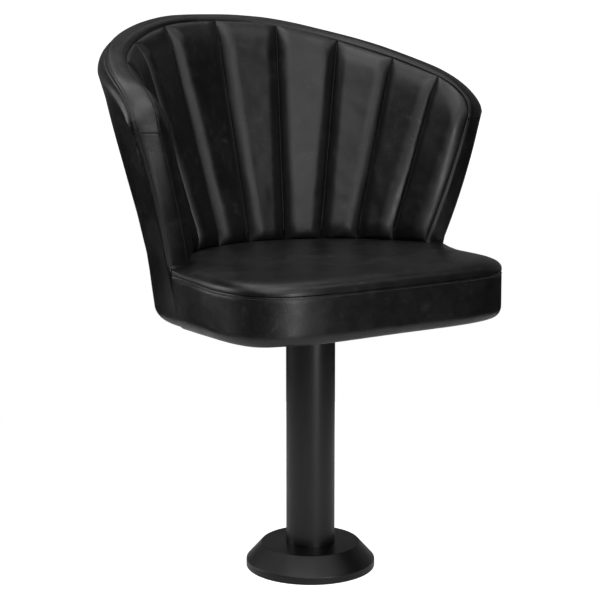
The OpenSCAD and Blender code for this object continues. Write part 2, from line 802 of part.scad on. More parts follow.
module shell_screws() {
    color("silver")
        screw_axes()
            union() {
                cylinder(r = screw_head_r, h = screw_head_h, $fn = round_fn);
                cylinder(r = screw_r, h = screw_length, $fn = round_fn);
            }
}

// Flutes of the inner back
function rounded(distance, reach, steepness) =
    pow(1 - pow(1 - clamp(distance / reach, 0, 1), flank_round_power), steepness);
function flute_width(index, share) = norm(wall_point(index + 1, share) - wall_point(index, share));
function flank_swell(index, x, share) =
    let (width = flute_width(index, share))
    rounded(min(x, 1 - x) * width, min(flute_flank_w, flute_most_flank_share * width), flank_steepness);
function end_swell(index, share) =
    let (length = norm(rim(index + 0.5) - foot(index + 0.5)))
    rounded(share * length, flute_foot_reach, end_steepness)
    * rounded((1 - share) * length, flute_top_reach, end_steepness);
function flute_swell(index, x, share) =
    end_swell(index, share)
    * (flute_depth * flank_swell(index, x, share) + flute_crown_h * (1 - pow(2 * x - 1, 2)));
// Each flute stops just short of its seams, and the last one goes on to the wall's front end.
function flute_strip(index, x) =
    let (high = index + 1 < flutes_side ? index + 1 - flute_joint_share : flutes_side)
    clamp(index + x, index + flute_joint_share, high);
function flute_face(index, x) =
    let (k = flute_strip(index, x))
    concat(
        [low_point(k, seam_z, 0)],
        [for (s = flute_up_shares)
            s < 1 ? up_point(k, s, -flute_swell(index, x, s)) : seated_point(k, 0)]
    );
function flute_back(index, x) =
    let (k = flute_strip(index, x))
    concat(
        [low_point(k, seam_z, low_outer_t(k, seam_z) - flute_back_t)],
        [for (s = flute_up_shares)
            s < 1 ? up_point(k, s, outer_t(k, s) - flute_back_t)
            : seated_point(k, rim_thickness(k) - flute_back_t)]
    );
module flute(index) {
    color("#1b1b1b")
        slab(
            [for (x = flute_across_shares) flute_back(index, x)],
            [for (x = flute_across_shares) flute_face(index, x)]
        );
}

// Border band that rolls over the rim and down the arm fronts. The first share of each pair goes
// across the band and the second is of the roll's height.
roll_shares = [
    [0, 0], [0.02, 0.3], [0.08, 0.6], [0.22, 0.9], [0.45, 1], [0.7, 0.85], [0.9, 0.45], [1, 0]
];
function border_ring(w) =
    let (
        p = edge_point(w),
        width = band_width(w),
        tilt = border_tilt(w),
        up = edge_up(w),
        out = outward(p)
    )
    concat(
        [p - border_base * up],
        [for (s = roll_shares) p + s[0] * width * out + (s[0] * tilt + s[1] * border_roll(w)) * up],
        [p + width * out + (band_drop(w, width) - border_base) * up]
    );
module border_top() {
    seam_w = flutes_side + cross_seam_share - cross_gap_share;
    color("#1b1b1b") loft([for (w = concat([-seam_w], wall_ks, [seam_w])) border_ring(w)]);
}
// The lower end of the band lies flat on the seat's ledge.
module border_lower() {
    start = flutes_side + cross_seam_share + cross_gap_share;
    path = [for (i = [0 : edge_steps]) mix(start, flutes_side + 1 - 2 * edge_probe, i / edge_steps)];
    end_ring = [for (p = border_ring(flutes_side + 2)) [p.x, p.y, seam_z]];
    color("#1b1b1b") loft(concat([for (w = path) border_ring(w)], [end_ring]));
}

// Outer cover, from the tuck under the seat to the border's outer seam
function cover_low(k, skin) =
    let (flat = low_outer_t(k, boxing_low_z))
    concat(
        [low_point(k, seat_bottom_z + (skin > 0 ? tuck_t : 0), flat - lower_edge_r - tuck_w)],
        [for (a = edge_turns)
            skin > 0
            ? low_point(k, seat_bottom_z + skin_rise(a, skin), flat - skin_in(a, skin))
            : low_point(k, seat_bottom_z + edge_rise_at(a), flat - edge_in(a))],
        [low_point(k, seam_z, low_outer_t(k, seam_z) - skin)],
        [for (s = wall_up_shares) up_point(k, s, outer_t(k, s) - skin)]
    );
function border_out(k) = rim_thickness(k) * border_share(k) + seat_gap;
// Each pair is the way up to the outer seam, from one shoulder radius below it, and the way out.
shoulder_shares = [[0, 1], [0.5, 0.93], [0.8, 0.68], [0.97, 0.3], [1, 0]];
// The shoulder narrows towards the arm's front edge, where the seam runs down beside the band.
function shoulder_low(k) = min(0, border_tilt(k)) - mix(shoulder_r, shoulder_end_r, last_share(k));
shoulder_inner_shares = [[0, 0.5], [0.05, 0], [0.8, 0]];
function cover_outer(k) = concat(cover_low(k, 0), [
    for (s = shoulder_shares)
        above_point(k, mix(shoulder_low(k), border_tilt(k), s[0]),
            mix(border_out(k), rim_thickness(k), s[1]))
]);
function cover_inner(k) =
    let (t = rim_thickness(k) - outer_skin, low = band_drop(k, rim_thickness(k)) - border_base)
    concat(
        cover_low(k, outer_skin),
        [above_point(k, shoulder_low(k), t), above_point(k, low, t)],
        [for (s = shoulder_inner_shares)
            above_point(k, mix(low, border_tilt(k), s[0]), mix(border_out(k), t, s[1]))]
    );
module outer_back_cover() {
    color("#1b1b1b")
        slab([for (k = wall_ks) cover_outer(k)], [for (k = wall_ks) cover_inner(k)]);
}

floor_flange();
column_tube();
base_cover();
bearing_housing();
lower_bush();
upper_bush();
thrust_washer();
spindle();
retaining_washer();
retaining_ring();
seat_plate();
plate_bolts();
plate_washers();
tee_nuts();
seat_board();
dust_cover();
seat_foam();
seat_top();
seat_boxing();
back_shell();
shell_screws();
mirror([1, 0, 0]) flute(0);  // flute_left_1
mirror([1, 0, 0]) flute(1);  // flute_left_2
mirror([1, 0, 0]) flute(2);  // flute_left_3
mirror([1, 0, 0]) flute(3);  // flute_left_4
mirror([1, 0, 0]) flute(4);  // flute_left_5
flute(0);  // flute_right_1
flute(1);  // flute_right_2
flute(2);  // flute_right_3
flute(3);  // flute_right_4
flute(4);  // flute_right_5
border_top();
mirror([1, 0, 0]) border_lower();  // border_lower_left
border_lower();  // border_lower_right
outer_back_cover();
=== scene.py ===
"""Dresses the pedestal swivel armchair: black leather over foam, stitched seams and painted steel."""

import math

import bmesh
import bpy
from bpy.props import FloatProperty, FloatVectorProperty, IntProperty, PointerProperty
from mathutils import Matrix, Vector, noise


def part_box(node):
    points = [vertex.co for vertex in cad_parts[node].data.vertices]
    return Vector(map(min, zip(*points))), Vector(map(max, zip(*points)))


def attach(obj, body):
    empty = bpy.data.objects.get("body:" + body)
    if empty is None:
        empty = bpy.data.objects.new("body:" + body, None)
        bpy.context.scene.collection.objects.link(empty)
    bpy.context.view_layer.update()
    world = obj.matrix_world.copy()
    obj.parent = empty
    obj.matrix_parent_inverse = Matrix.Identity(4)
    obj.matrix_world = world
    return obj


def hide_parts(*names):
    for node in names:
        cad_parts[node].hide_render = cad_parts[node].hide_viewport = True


bl_info = {
    "name": "Pedestal swivel armchair",
    "version": (1, 0, 0),
    "blender": (4, 5, 0),
    "location": "View3D > Sidebar > Armchair",
    "description": "Makes the leather, the stitching and the finishes of a fluted swivel armchair",
    "category": "Object",
}

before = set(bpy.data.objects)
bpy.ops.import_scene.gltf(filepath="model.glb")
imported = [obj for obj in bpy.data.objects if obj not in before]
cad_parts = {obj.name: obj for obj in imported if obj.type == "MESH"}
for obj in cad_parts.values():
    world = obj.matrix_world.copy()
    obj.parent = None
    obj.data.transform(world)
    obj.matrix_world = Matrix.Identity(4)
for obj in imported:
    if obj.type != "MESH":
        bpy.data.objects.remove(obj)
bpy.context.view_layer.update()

SEAT_BODY = "seat"
SIDES = {"left": -1, "right": 1}
SEAT_STITCH_DROP = 0.0045


def size_of(name, description, default):
    return FloatProperty(name=name, description=description, default=default, unit="LENGTH")


def angle_of(name, description, degrees):
    turn = math.radians(degrees)
    return FloatProperty(name=name, description=description, default=turn, unit="ROTATION")


def share_of(name, description, default):
    return FloatProperty(name=name, description=description, default=default, min=0, max=1)


def colour_of(name, description, default):
    return FloatVectorProperty(
        name=name, description=description, default=default, subtype="COLOR", size=3, min=0, max=1
    )


class ArmchairBack(bpy.types.PropertyGroup):
    """Sizes of the fluted back and its border."""

    flutes_side: IntProperty(
        name="Flutes a side", description="Flutes on each side of the middle seam", default=5, min=1
    )
    rim_seam_z: size_of("Rim height", "Height of the inner rim seam at the middle", 0.8465)
    rim_seam_r: size_of("Rim radius", "Radius of the inner rim seam round the column's axis", 0.275)
    rim_drop: size_of("Rim fall", "Fall of the rim to the last seam before the corner", 0.088)
    rim_level_angle: angle_of("Level angle", "Angle over which the top of the back stays level", 25)
    corner_angle: angle_of("Corner angle", "Plan angle of the arm's front corner", 97)
    corner_z: size_of("Corner height", "Height of the front corner's lower end", 0.702)
    foot_end_angle: angle_of("Arm foot angle", "Plan angle of the arm's front at the seat", 91.5)
    foot_back_r: size_of("Foot radius, back", "Radius of the inner back at the seat", 0.176)
    foot_arm_r: size_of("Foot radius, arm", "The same radius at the arm fronts", 0.2195)
    foot_back_z: size_of("Foot height, back", "Height of the inner back's foot at the middle", 0.4908)
    foot_arm_z: size_of("Foot height, arm", "The same height at the arm fronts", 0.499)
    wall_back_t: size_of("Wall, back", "Thickness of the padded wall at the middle", 0.050)
    wall_arm_t: size_of("Wall, arm", "Thickness of the padded wall at the arm fronts", 0.038)
    rim_back_t: size_of("Rim, back", "Thickness of the rim at the middle", 0.043)
    flute_depth: size_of("Flute depth", "How far a flute stands out from its seams", 0.015)
    flute_flank_w: size_of("Flute flank", "Width of the rounded flank beside each seam", 0.023)
    flute_top_reach: size_of("Flute top", "Length over which a flute rounds to the rim", 0.040)
    flute_foot_reach: size_of("Flute foot", "Length over which a flute rounds to the seat", 0.034)
    border_roll_h: size_of("Border roll, back", "Height of the border's roll at the middle", 0.0075)
    border_arm_roll_h: size_of("Border roll, arms", "Height of the border's roll at the arms", 0.005)
    corner_dip: size_of("Corner dip", "Fall of the outer seam behind the inner at the corner", 0.018)
    outer_skin: size_of("Outer cover", "Thickness of the outer leather with its wadding", 0.0057)


class ArmchairSeat(bpy.types.PropertyGroup):
    """Sizes of the seat."""

    half_width: size_of("Half width", "Half of the seat's width", 0.240)
    front: size_of("Front", "Distance from the column's axis to the seat's front", 0.229)
    widest: size_of("Widest", "How far in front of the axis the seat is widest", 0.040)
    bottom_z: size_of("Underside", "Height of the seat's underside", 0.404)
    seam_z: size_of("Top seam", "Height of the seam round the seat's top", 0.476)
    corner_power: FloatProperty(
        name="Corner power", description="How squarely the front corners turn", default=4.7, min=2
    )
    crown: size_of("Crown", "Rise of the seat's crown above its seam", 0.0215)
    lower_edge_r: size_of("Lower edge", "Radius of the rounded lower edge", 0.016)
    arm_flare: size_of("Arm flare", "How far the seat's side swells to meet the arm", 0.012)


class ArmchairLooks(bpy.types.PropertyGroup):
    """Colours and finishes."""

    leather: colour_of("Leather", "Colour of the leather", (0.0052, 0.0050, 0.0049))
    leather_roughness: share_of("Leather roughness", "How matt the leather is", 0.38)
    paint: colour_of("Paint", "Colour of the painted steel", (0.0034, 0.0034, 0.0035))
    paint_roughness: share_of("Paint roughness", "How matt the paint is", 0.36)
    # The thread's grey, far lighter than black thread, is a painted highlight on the stitches.
    thread: colour_of("Thread", "Colour of the stitching thread", (0.13, 0.13, 0.131))
    steel: colour_of("Steel", "Colour of the zinc plated steel", (0.46, 0.46, 0.47))
    plastic: colour_of("Plastic", "Colour of the bearing plastic", (0.72, 0.70, 0.64))
    wood: colour_of("Plywood", "Colour of the plywood", (0.55, 0.40, 0.25))
    foam: colour_of("Foam", "Colour of the cut foam", (0.72, 0.66, 0.48))
    cloth: colour_of("Lining cloth", "Colour of the cloth under the seat", (0.018, 0.018, 0.019))
    floor: colour_of("Floor", "Colour of the floor and the backdrop", (0.86, 0.86, 0.86))


# Small sums


def mix(a, b, share):
    return a + (b - a) * share


def clamp(x, low=0.0, high=1.0):
    return max(low, min(high, x))


def smooth(x):
    x = clamp(x)
    return x * x * (3 - 2 * x)


def sign(x):
    return (x > 0) - (x < 0)


def outward(p):
    return Vector((p.x, p.y, 0)).normalized()


def on_ring(angle, radius, height):
    return Vector((radius * math.sin(angle), radius * math.cos(angle), height))


def quarter_round(distance, reach, power=2.2, steepness=0.5):
    """Rises from 0 at an end to 1 at reach from it, steeply first."""
    return (1 - (1 - clamp(distance / reach)) ** power) ** steepness


def crowded(u, share):
    """Moves the steps of a row closer together towards both its ends."""
    return mix(u, 0.5 - 0.5 * math.cos(math.pi * u), share)


def quarter(steps):
    """The angles of a quarter turn at even steps."""
    return [math.pi / 2 * step / steps for step in range(steps + 1)]


def mirrored(p, side):
    return Vector((side * p.x, p.y, p.z))


class BackLines:
    """Lines of the back. Strip numbers run from 0 at the middle seam to last at the arm's front."""

    reach_past_corner = math.radians(3.6)
    seam_slowing = 0.15
    rim_power = 3
    lead_turn, lead_fall = 0.08, 0.11
    corner_rise = 0.028
    corner_out = 0.0085
    arm_start = 0.6
    arm_bow = 0.0044
    bow_power = 6
    lean_back, lean_arm = 0.06, 0.17
    width_back, width_arm = 0.74, 0.96
    tilt_back = 0.0045
    tilt_start, tilt_span = 0.45, 0.4
    dip_lead = 1.4
    dip_fall = 1.5
    dip_turn = 0.15
    ease_before = 0.2
    ease_after = 0.085
    foot_rise = 0.014
    border_base = 0.001
    band_gap = 0.0013
    roll_power = 2.8
    cross_seam = 0.05
    seam_gap = 0.0021
    stitch_inset = 0.0032
    groove_depth, groove_width = 0.0004, 0.0012
    cross_depth, cross_reach = 0.0006, 0.002

    def __init__(self, back, seat):
        self.back, self.seat = back, seat
        self.last = back.flutes_side
        self.rim_arm_t = back.wall_arm_t * 0.985
        self.rim_reach = back.corner_angle + self.reach_past_corner
        last_seam = (self.last - 1) / self.last
        self.last_angle = self.rim_reach * self.slowed(last_seam)

    def slowed(self, share):
        return share * (1 + self.seam_slowing * (1 - share))

    def foot(self, k):
        b = self.back
        share = abs(k) / self.last
        angle = b.foot_end_angle * self.slowed(share)
        radius = mix(b.foot_back_r, b.foot_arm_r, (angle / b.foot_end_angle) ** 2.2)
        return on_ring(sign(k) * angle, radius, mix(b.foot_back_z, b.foot_arm_z, share**1.5))

    def rim_height(self, angle):
        b = self.back

        def curve(a):
            power = self.rim_power
            return (a**power + b.rim_level_angle**power) ** (1 / power) - b.rim_level_angle

        return b.rim_seam_z - b.rim_drop * curve(angle) / curve(self.last_angle)

    def rim(self, k):
        b = self.back
        strip = abs(k)
        if strip <= self.last - 1:
            angle = self.rim_reach * self.slowed(strip / self.last)
            height = self.rim_height(angle)
        else:
            start = Vector((self.last_angle, self.rim_height(self.last_angle)))
            end = Vector((b.corner_angle, b.corner_z))
            lead = start + Vector((self.last_angle * self.lead_turn, -b.rim_drop * self.lead_fall))
            rise = end + Vector((0, self.corner_rise))
            s = strip - self.last + 1
            turn = (
                start * (1 - s) ** 3 + lead * 3 * s * (1 - s) ** 2
                + rise * 3 * s * s * (1 - s) + end * s**3
            )
            angle, height = turn
        radius = b.rim_seam_r + self.corner_out * smooth(strip - self.last + 1)
        return on_ring(sign(k) * angle, radius, height)

    def wall(self, k, share):
        """A point of a seam line between flutes. Towards the arm's front it bows forward."""
        bow = self.arm_bow * math.sin(math.pi * share) * (abs(k) / self.last) ** self.bow_power
        return self.foot(k).lerp(self.rim(k), share) - Vector((0, bow, 0))

    def path(self, w):
        """Along the rim to the corner, then down the arm's front to the seat."""
        if abs(w) <= self.last:
            return self.rim(w)
        k = sign(w) * self.last
        down = abs(w) - self.last
        if down <= 1:
            return self.wall(k, 1 - down)
        foot = self.foot(k)
        return Vector((foot.x, foot.y, mix(foot.z, self.seat.seam_z + self.foot_rise, down - 1)))

    def edge(self, w):
        """The border's path, with its turn at the corner eased."""
        past = abs(w) - self.last
        if not -self.ease_before < past < self.ease_after:
            return self.path(w)
        side, step = sign(w), 0.01
        first, last = self.last - self.ease_before, self.last + self.ease_after
        start, end = self.path(side * first), self.path(side * last)
        chord = (end - start).length
        leaving = (start - self.path(side * (first - step))).normalized() * chord
        arriving = (self.path(side * (last + step)) - end).normalized() * chord
        t = 0.5 + 0.5 * past / (self.ease_before if past < 0 else self.ease_after)
        p = start * (1 + 2 * t) * (1 - t) ** 2 + end * t * t * (3 - 2 * t)
        return p + leaving * t * (1 - t) ** 2 - arriving * t * t * (1 - t)

    def edge_up(self, w):
        step = 0.004
        along = self.edge(w + step) - self.edge(w - step)
        return along.cross(outward(self.edge(w))).normalized()

    def arm_share(self, w):
        return (abs(w) / self.last - self.arm_start) / (1 - self.arm_start)

    def wall_t(self, k):
        return mix(self.back.wall_back_t, self.back.wall_arm_t, clamp(self.arm_share(k)) ** 2)

    def rim_t(self, k):
        return mix(self.back.rim_back_t, self.rim_arm_t, clamp(self.arm_share(k)) ** 2)

    def edge_t(self, w):
        if abs(w) <= self.last:
            return self.rim_t(w)
        return mix(self.rim_arm_t, self.back.wall_arm_t, min(1, abs(w) - self.last))

    def band_width(self, w):
        width = self.edge_t(w) * mix(self.width_back, self.width_arm, smooth(self.arm_share(w)))
        if abs(w) <= self.last + 1:
            return width
        return self.width_arm * self.low_outer_t(self.last, self.path(w).z)

    def ease(self, w):
        return smooth((abs(w) / self.last - self.tilt_start) / self.tilt_span)

    def roll(self, w):
        return mix(self.back.border_roll_h, self.back.border_arm_roll_h, self.ease(w))

    def tilt(self, w):
        """The outer seam stands above the inner one at the back and falls behind it at the corner."""
        past = abs(w) - self.last
        turn = self.dip_turn
        fallen = (past + turn) ** 2 / (4 * turn) if abs(past) < turn else max(0, past)
        share = smooth(1 + min(0, past) / self.dip_lead) * (1 - min(1, fallen)) ** self.dip_fall
        return mix(self.tilt_back, 0, self.ease(w)) - self.back.corner_dip * share

    def drop(self, w, t):
        """How far the band's underside lies behind its inner seam, t out from it."""
        return min(0, self.tilt(w)) * clamp(t / self.band_width(w))

    def outer_t(self, k, share):
        return mix(self.wall_t(k), self.rim_t(k), share**4)

    def low_outer_t(self, k, z):
        lean = self.lean_back + self.lean_arm * (abs(k) / self.last) ** 4
        return self.wall_t(k) - lean * (self.foot(k).z - z)

    def last_share(self, k):
        return max(0, abs(k) - self.last + 1) ** 2

    def set_back(self, k, w, distance):
        """The last strip draws back, so that it ends behind the border."""
        share = self.last_share(k)
        if not share:
            return Vector((0, 0, 0))
        return -share * distance * self.edge_up(sign(k) * w)

    def up(self, k, share, t):
        p = self.wall(k, share)
        w = self.last + 1 - share
        return p + self.set_back(k, w, self.band_gap - self.drop(w, t)) + t * outward(p)

    def low(self, k, z, t):
        p = self.foot(k)
        p = Vector((p.x, p.y, z))
        return p + t * outward(p)

    def above(self, k, rise, t):
        p = self.rim(k)
        return p + t * outward(p) + rise * self.edge_up(k)

    def under_band(self, k, t):
        """The upper end of what the border band covers, t out from the inner seam."""
        return self.above(k, self.drop(k, t) - self.band_gap, t)

    def band(self, u, w, raised=0.0):
        """A point of the border band's face at u across it, raised above it by a distance."""
        p = self.edge(w)
        width = self.band_width(w)
        beside = min(u, 1 - u) * width
        from_stitch = (beside - self.stitch_inset) / self.groove_width
        roll = max(0.0, 1 - abs(2 * u - 1) ** self.roll_power) ** 0.5 * self.roll(w)
        height = roll - self.groove_depth * math.exp(-(from_stitch**2))
        height += sway(p, 0.045, 0.0006) * smooth(beside / 0.01)
        if abs(abs(w) - self.last - self.cross_seam) < 0.2:
            seam_w = sign(w) * (self.last + self.cross_seam)
            reach = (self.edge(w) - self.edge(seam_w)).length
            height -= self.cross_depth * (1 - quarter_round(reach, self.cross_reach))
        rise = u * self.tilt(w) + height + raised
        return p + u * width * outward(p) + rise * self.edge_up(w)

    def band_under(self, u, w):
        p = self.edge(w)
        drop = min(0, self.tilt(w)) * u - self.border_base
        return p + u * self.band_width(w) * outward(p) + drop * self.edge_up(w)


# Meshes


def unit_grid(across, along):
    mesh = bmesh.new()
    bmesh.ops.create_grid(mesh, x_segments=across, y_segments=along, size=0.5)
    bmesh.ops.translate(mesh, verts=mesh.verts, vec=(0.5, 0.5, 0))
    return mesh


def flat_slab(across, along):
    """A flat slab of unit size: a grid and its copy above it, joined round the edge."""
    mesh = unit_grid(across, along)
    made = bmesh.ops.extrude_face_region(mesh, geom=mesh.faces[:])
    raised = [item for item in made["geom"] if isinstance(item, bmesh.types.BMVert)]
    bmesh.ops.translate(mesh, verts=raised, vec=(0, 0, 1))
    return mesh


def bend(mesh, place):
    """Puts each corner of a flat slab where place(across, along, depth) says."""
    for vertex in mesh.verts:
        vertex.co = place(*vertex.co)
    return mesh


def finished(mesh, name, material, sharp_angle=math.radians(50)):
    """The object of a mesh, shaded smooth with its steep edges kept sharp."""
    bmesh.ops.remove_doubles(mesh, verts=mesh.verts, dist=1e-6)
    bmesh.ops.recalc_face_normals(mesh, faces=mesh.faces)
    for face in mesh.faces:
        face.smooth = True
    for edge in mesh.edges:
        if len(edge.link_faces) == 2 and edge.calc_face_angle(0) > sharp_angle:
            edge.smooth = False
    data = bpy.data.meshes.new(name)
    mesh.to_mesh(data)
    mesh.free()
    data.materials.append(material)
    piece = bpy.data.objects.new(name, data)
    bpy.context.scene.collection.objects.link(piece)
    return piece


def add_to(whole, part):
    """Adds one mesh to another and frees it."""
    data = bpy.data.meshes.new("part")
    part.to_mesh(data)
    part.free()
    whole.from_mesh(data)
    bpy.data.meshes.remove(data)


def sway(p, wave, height):
    """A slow unevenness of hand-made padding at a point."""
    return height * noise.noise(p / wave)


def dress(piece, nodes=()):
    """Rides a piece on the seat, and hides the solids it replaces."""
    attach(piece, SEAT_BODY)
    if nodes:
        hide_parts(*nodes)


def lines():
    scene = bpy.context.scene
    return BackLines(scene.armchair_back, scene.armchair_seat)


# Materials


class Finish:
    """A material and its nodes, in the object's own coordinates."""

    def __init__(self, name):
        self.material = bpy.data.materials.new(name)
        self.material.use_nodes = True
        self.tree = self.material.node_tree
        self.shader = self.tree.nodes["Principled BSDF"]
        self.place = self.add("ShaderNodeTexCoord").outputs["Object"]

    def put(self, name, value, target=None):
        """Sets a socket of the shader or of a node, or links it if the value is a socket too."""
        socket = (target or self.shader).inputs[name]
        if isinstance(value, bpy.types.NodeSocket):
            self.tree.links.new(value, socket)
        else:
            socket.default_value = value

    def add(self, kind, inputs=(), **settings):
        made = self.tree.nodes.new(kind)
        for name, value in settings.items():
            setattr(made, name, value)
        for name, value in dict(inputs).items():
            self.put(name, value, made)
        return made

    def plain(self, colour, roughness, metallic=0.0):
        self.put("Base Color", (*colour, 1))
        self.put("Roughness", roughness)
        self.put("Metallic", metallic)

    def ranged(self, value, low, high, start=0.0, stop=1.0):
        """Value from start to stop, turned to low to high."""
        inputs = {"Value": value, "From Min": start, "From Max": stop, "To Min": low, "To Max": high}
        return self.add("ShaderNodeMapRange", inputs).outputs["Result"]

    def noise(self, scale, detail=3.0, place=None):
        inputs = {"Scale": scale, "Detail": detail, "Vector": place or self.place}
        return self.add("ShaderNodeTexNoise", inputs).outputs["Fac"]

    def cells(self, scale, feature="F1", place=None):
        inputs = {"Scale": scale, "Vector": place or self.place}
        return self.add("ShaderNodeTexVoronoi", inputs, feature=feature).outputs["Distance"]

    def waves(self, scale, distortion, **settings):
        inputs = {"Scale": scale, "Distortion": distortion, "Vector": self.place}
        return self.add("ShaderNodeTexWave", inputs, **settings).outputs["Fac"]

    def stretched(self, *scale):
        inputs = {"Scale": scale, "Vector": self.place}
        return self.add("ShaderNodeMapping", inputs).outputs["Vector"]

    def bent(self, scale, reach):
        """Object coordinates pushed about by a noise, so that a pattern's lines wander."""
        push = self.add("ShaderNodeTexNoise", {"Scale": scale, "Vector": self.place})
        inputs = {0: push.outputs["Color"], 1: (reach, reach, reach), 2: self.place}
        return self.add("ShaderNodeVectorMath", inputs, operation="MULTIPLY_ADD").outputs["Vector"]

    def joined(self, operation, *values):
        """One number from several: sockets or plain numbers."""
        return self.add("ShaderNodeMath", enumerate(values), operation=operation).outputs[0]

    def coloured(self, share, low, high):
        """Makes the base colour one between two, by a share."""
        inputs = {"Factor": share, "A": (*low, 1), "B": (*high, 1)}
        made = self.add("ShaderNodeMix", inputs, data_type="RGBA")
        self.put("Base Color", made.outputs["Result"])

    def bumped(self, height, depth):
        """Gives the surface a relief of a real depth."""
        inputs = {"Strength": 1, "Distance": depth, "Height": height}
        self.put("Normal", self.add("ShaderNodeBump", inputs).outputs["Normal"])


def once(build):
    """Turns a function that builds a finish into one that makes its material at the first call."""

    def material():
        found = bpy.data.materials.get(build.__name__)
        if found:
            return found
        finish = Finish(build.__name__)
        build(finish, bpy.context.scene.armchair_looks)
        return finish.material

    return material


def dimmed(colour, share):
    return [share * part for part in colour]


@once
def upholstery_leather(finish, looks):
    """Black leather: pebbled grain, soft creases in patches, faint scuffs and uneven gloss."""
    matt = looks.leather_roughness
    finish.plain(looks.leather, matt)
    bent = finish.bent(26, 0.03)
    cloud = finish.noise(13, 4)
    patches = finish.ranged(cloud, 0, 1, 0.46, 0.64)
    crease = finish.ranged(finish.cells(62, "DISTANCE_TO_EDGE", bent), 1, 0, 0, 0.09)
    creased = finish.joined("MULTIPLY", crease, patches)
    pebble = finish.ranged(finish.cells(760), 0, 1, 0, 0.6)
    hide = finish.noise(75, 5, bent)
    grain = finish.joined("MULTIPLY_ADD", finish.noise(1500, 2), 0.35, pebble)
    grain = finish.joined("MULTIPLY_ADD", creased, -1.2, grain)
    finish.bumped(finish.joined("MULTIPLY_ADD", hide, 3, grain), 0.00004)
    gloss = finish.joined("MULTIPLY_ADD", hide, 0.5, cloud)
    finish.put("Roughness", finish.ranged(gloss, matt - 0.05, matt + 0.05, 0.6, 0.9))
    fine = finish.cells(150, "DISTANCE_TO_EDGE", finish.bent(70, 0.02))
    rubbed = finish.ranged(finish.noise(42, 3), 0, 1, 0.5, 0.68)
    scratch = finish.joined("MULTIPLY", finish.ranged(fine, 1, 0, 0, 0.07), rubbed)
    scuff = finish.joined("MULTIPLY", finish.ranged(hide, 0, 1, 0.56, 0.78), patches)
    scuff = finish.joined("MAXIMUM", scuff, finish.joined("MULTIPLY", scratch, 0.6))
    finish.coloured(scuff, looks.leather, dimmed(looks.leather, 6))


@once
def satin_paint(finish, looks):
    """Satin powder coat with a very fine orange peel."""
    matt = looks.paint_roughness
    finish.plain(looks.paint, matt)
    finish.bumped(finish.noise(520, 2), 0.00005)
    finish.put("Roughness", finish.ranged(finish.noise(22), matt - 0.03, matt + 0.03, 0.3, 0.7))
    specks = finish.ranged(finish.noise(240, 2), 0, 1, 0.62, 0.7)
    finish.coloured(specks, looks.paint, dimmed(looks.paint, 1.5))


@once
def zinc_steel(finish, looks):
    """Zinc plated steel: fine crystals, faint clouds and a turned grain."""
    finish.plain(looks.steel, 0.38, metallic=1)
    finish.put("Roughness", finish.ranged(finish.noise(45), 0.3, 0.46, 0.3, 0.7))
    finish.coloured(finish.cells(420), dimmed(looks.steel, 0.78), looks.steel)
    finish.bumped(finish.noise(210, place=finish.stretched(1, 1, 9)), 0.00006)


@once
def bearing_plastic(finish, looks):
    """Natural bearing plastic with turning marks."""
    finish.plain(looks.plastic, 0.48)
    finish.put("Subsurface Weight", 0.12)
    finish.put("Subsurface Scale", 0.002)
    turned = finish.waves(320, 0.6, wave_type="RINGS", rings_direction="Z")
    finish.bumped(turned, 0.00003)
    finish.put("Roughness", finish.ranged(finish.noise(60), 0.42, 0.54, 0.3, 0.7))


@once
def birch_plywood(finish, looks):
    """Birch plywood: long soft grain on the faces and thin glue lines between the plies."""
    finish.plain(looks.wood, 0.6)
    along = finish.stretched(1, 0.09, 1)
    grain = finish.noise(130, 5, along)
    plies = finish.waves(110, 0.15, bands_direction="Z")
    layered = finish.joined("MULTIPLY_ADD", plies, 0.25, grain)
    tone = finish.joined("MULTIPLY_ADD", finish.noise(18, 2, along), 0.35, layered)
    finish.coloured(finish.ranged(tone, 0, 1, 0.5, 0.95), dimmed(looks.wood, 0.55), looks.wood)
    finish.put("Roughness", finish.ranged(grain, 0.52, 0.68, 0.3, 0.7))
    finish.bumped(grain, 0.00015)


@once
def seating_foam(finish, looks):
    """Cut seating foam with open cells."""
    finish.plain(looks.foam, 0.9)
    finish.bumped(finish.ranged(finish.cells(520), 0, 1, 0, 0.7), 0.0005)
    red, green, blue = looks.foam
    yellowed = (0.8 * red, 0.72 * green, 0.55 * blue)
    finish.coloured(finish.ranged(finish.noise(12), 0, 1, 0.3, 0.75), looks.foam, yellowed)


@once
def lining_cloth(finish, looks):
    """Thin black lining cloth: a bonded web of crossing threads."""
    finish.plain(looks.cloth, 0.85)
    threads = [finish.waves(330, 0.8, bands_direction=way) for way in ("X", "Y")]
    weave = finish.joined("MAXIMUM", *threads)
    finish.bumped(weave, 0.00022)
    finish.coloured(weave, looks.cloth, dimmed(looks.cloth, 2.2))
    finish.put("Sheen Weight", 0.2)
    finish.put("Sheen Roughness", 0.5)


@once
def thread_with_painted_highlight(finish, looks):
    """Bonded black thread, twisted from three plies; its colour is lifted to grey as a painted
    highlight on the stitches.
    """
    # Painted highlight: the grey base colour stands in for the glints on the black thread.
    finish.plain(looks.thread, 0.42)
    finish.bumped(finish.noise(1800, 2), 0.0001)
    finish.coloured(finish.noise(300, 2), dimmed(looks.thread, 0.5), looks.thread)


@once
def painted_hole_shade(finish, looks):
    """Painted shade of a needle hole: a near-black, nearly unreflecting finish that stands for the
    hole's shadow in the leather.
    """
    # Painted shade: the hole's shadow is given as a near-black colour with almost no reflection.
    finish.plain(dimmed(looks.leather, 0.3), 1)
    finish.put("Specular IOR Level", 0.05)
    finish.bumped(finish.noise(2500, 2), 0.0001)


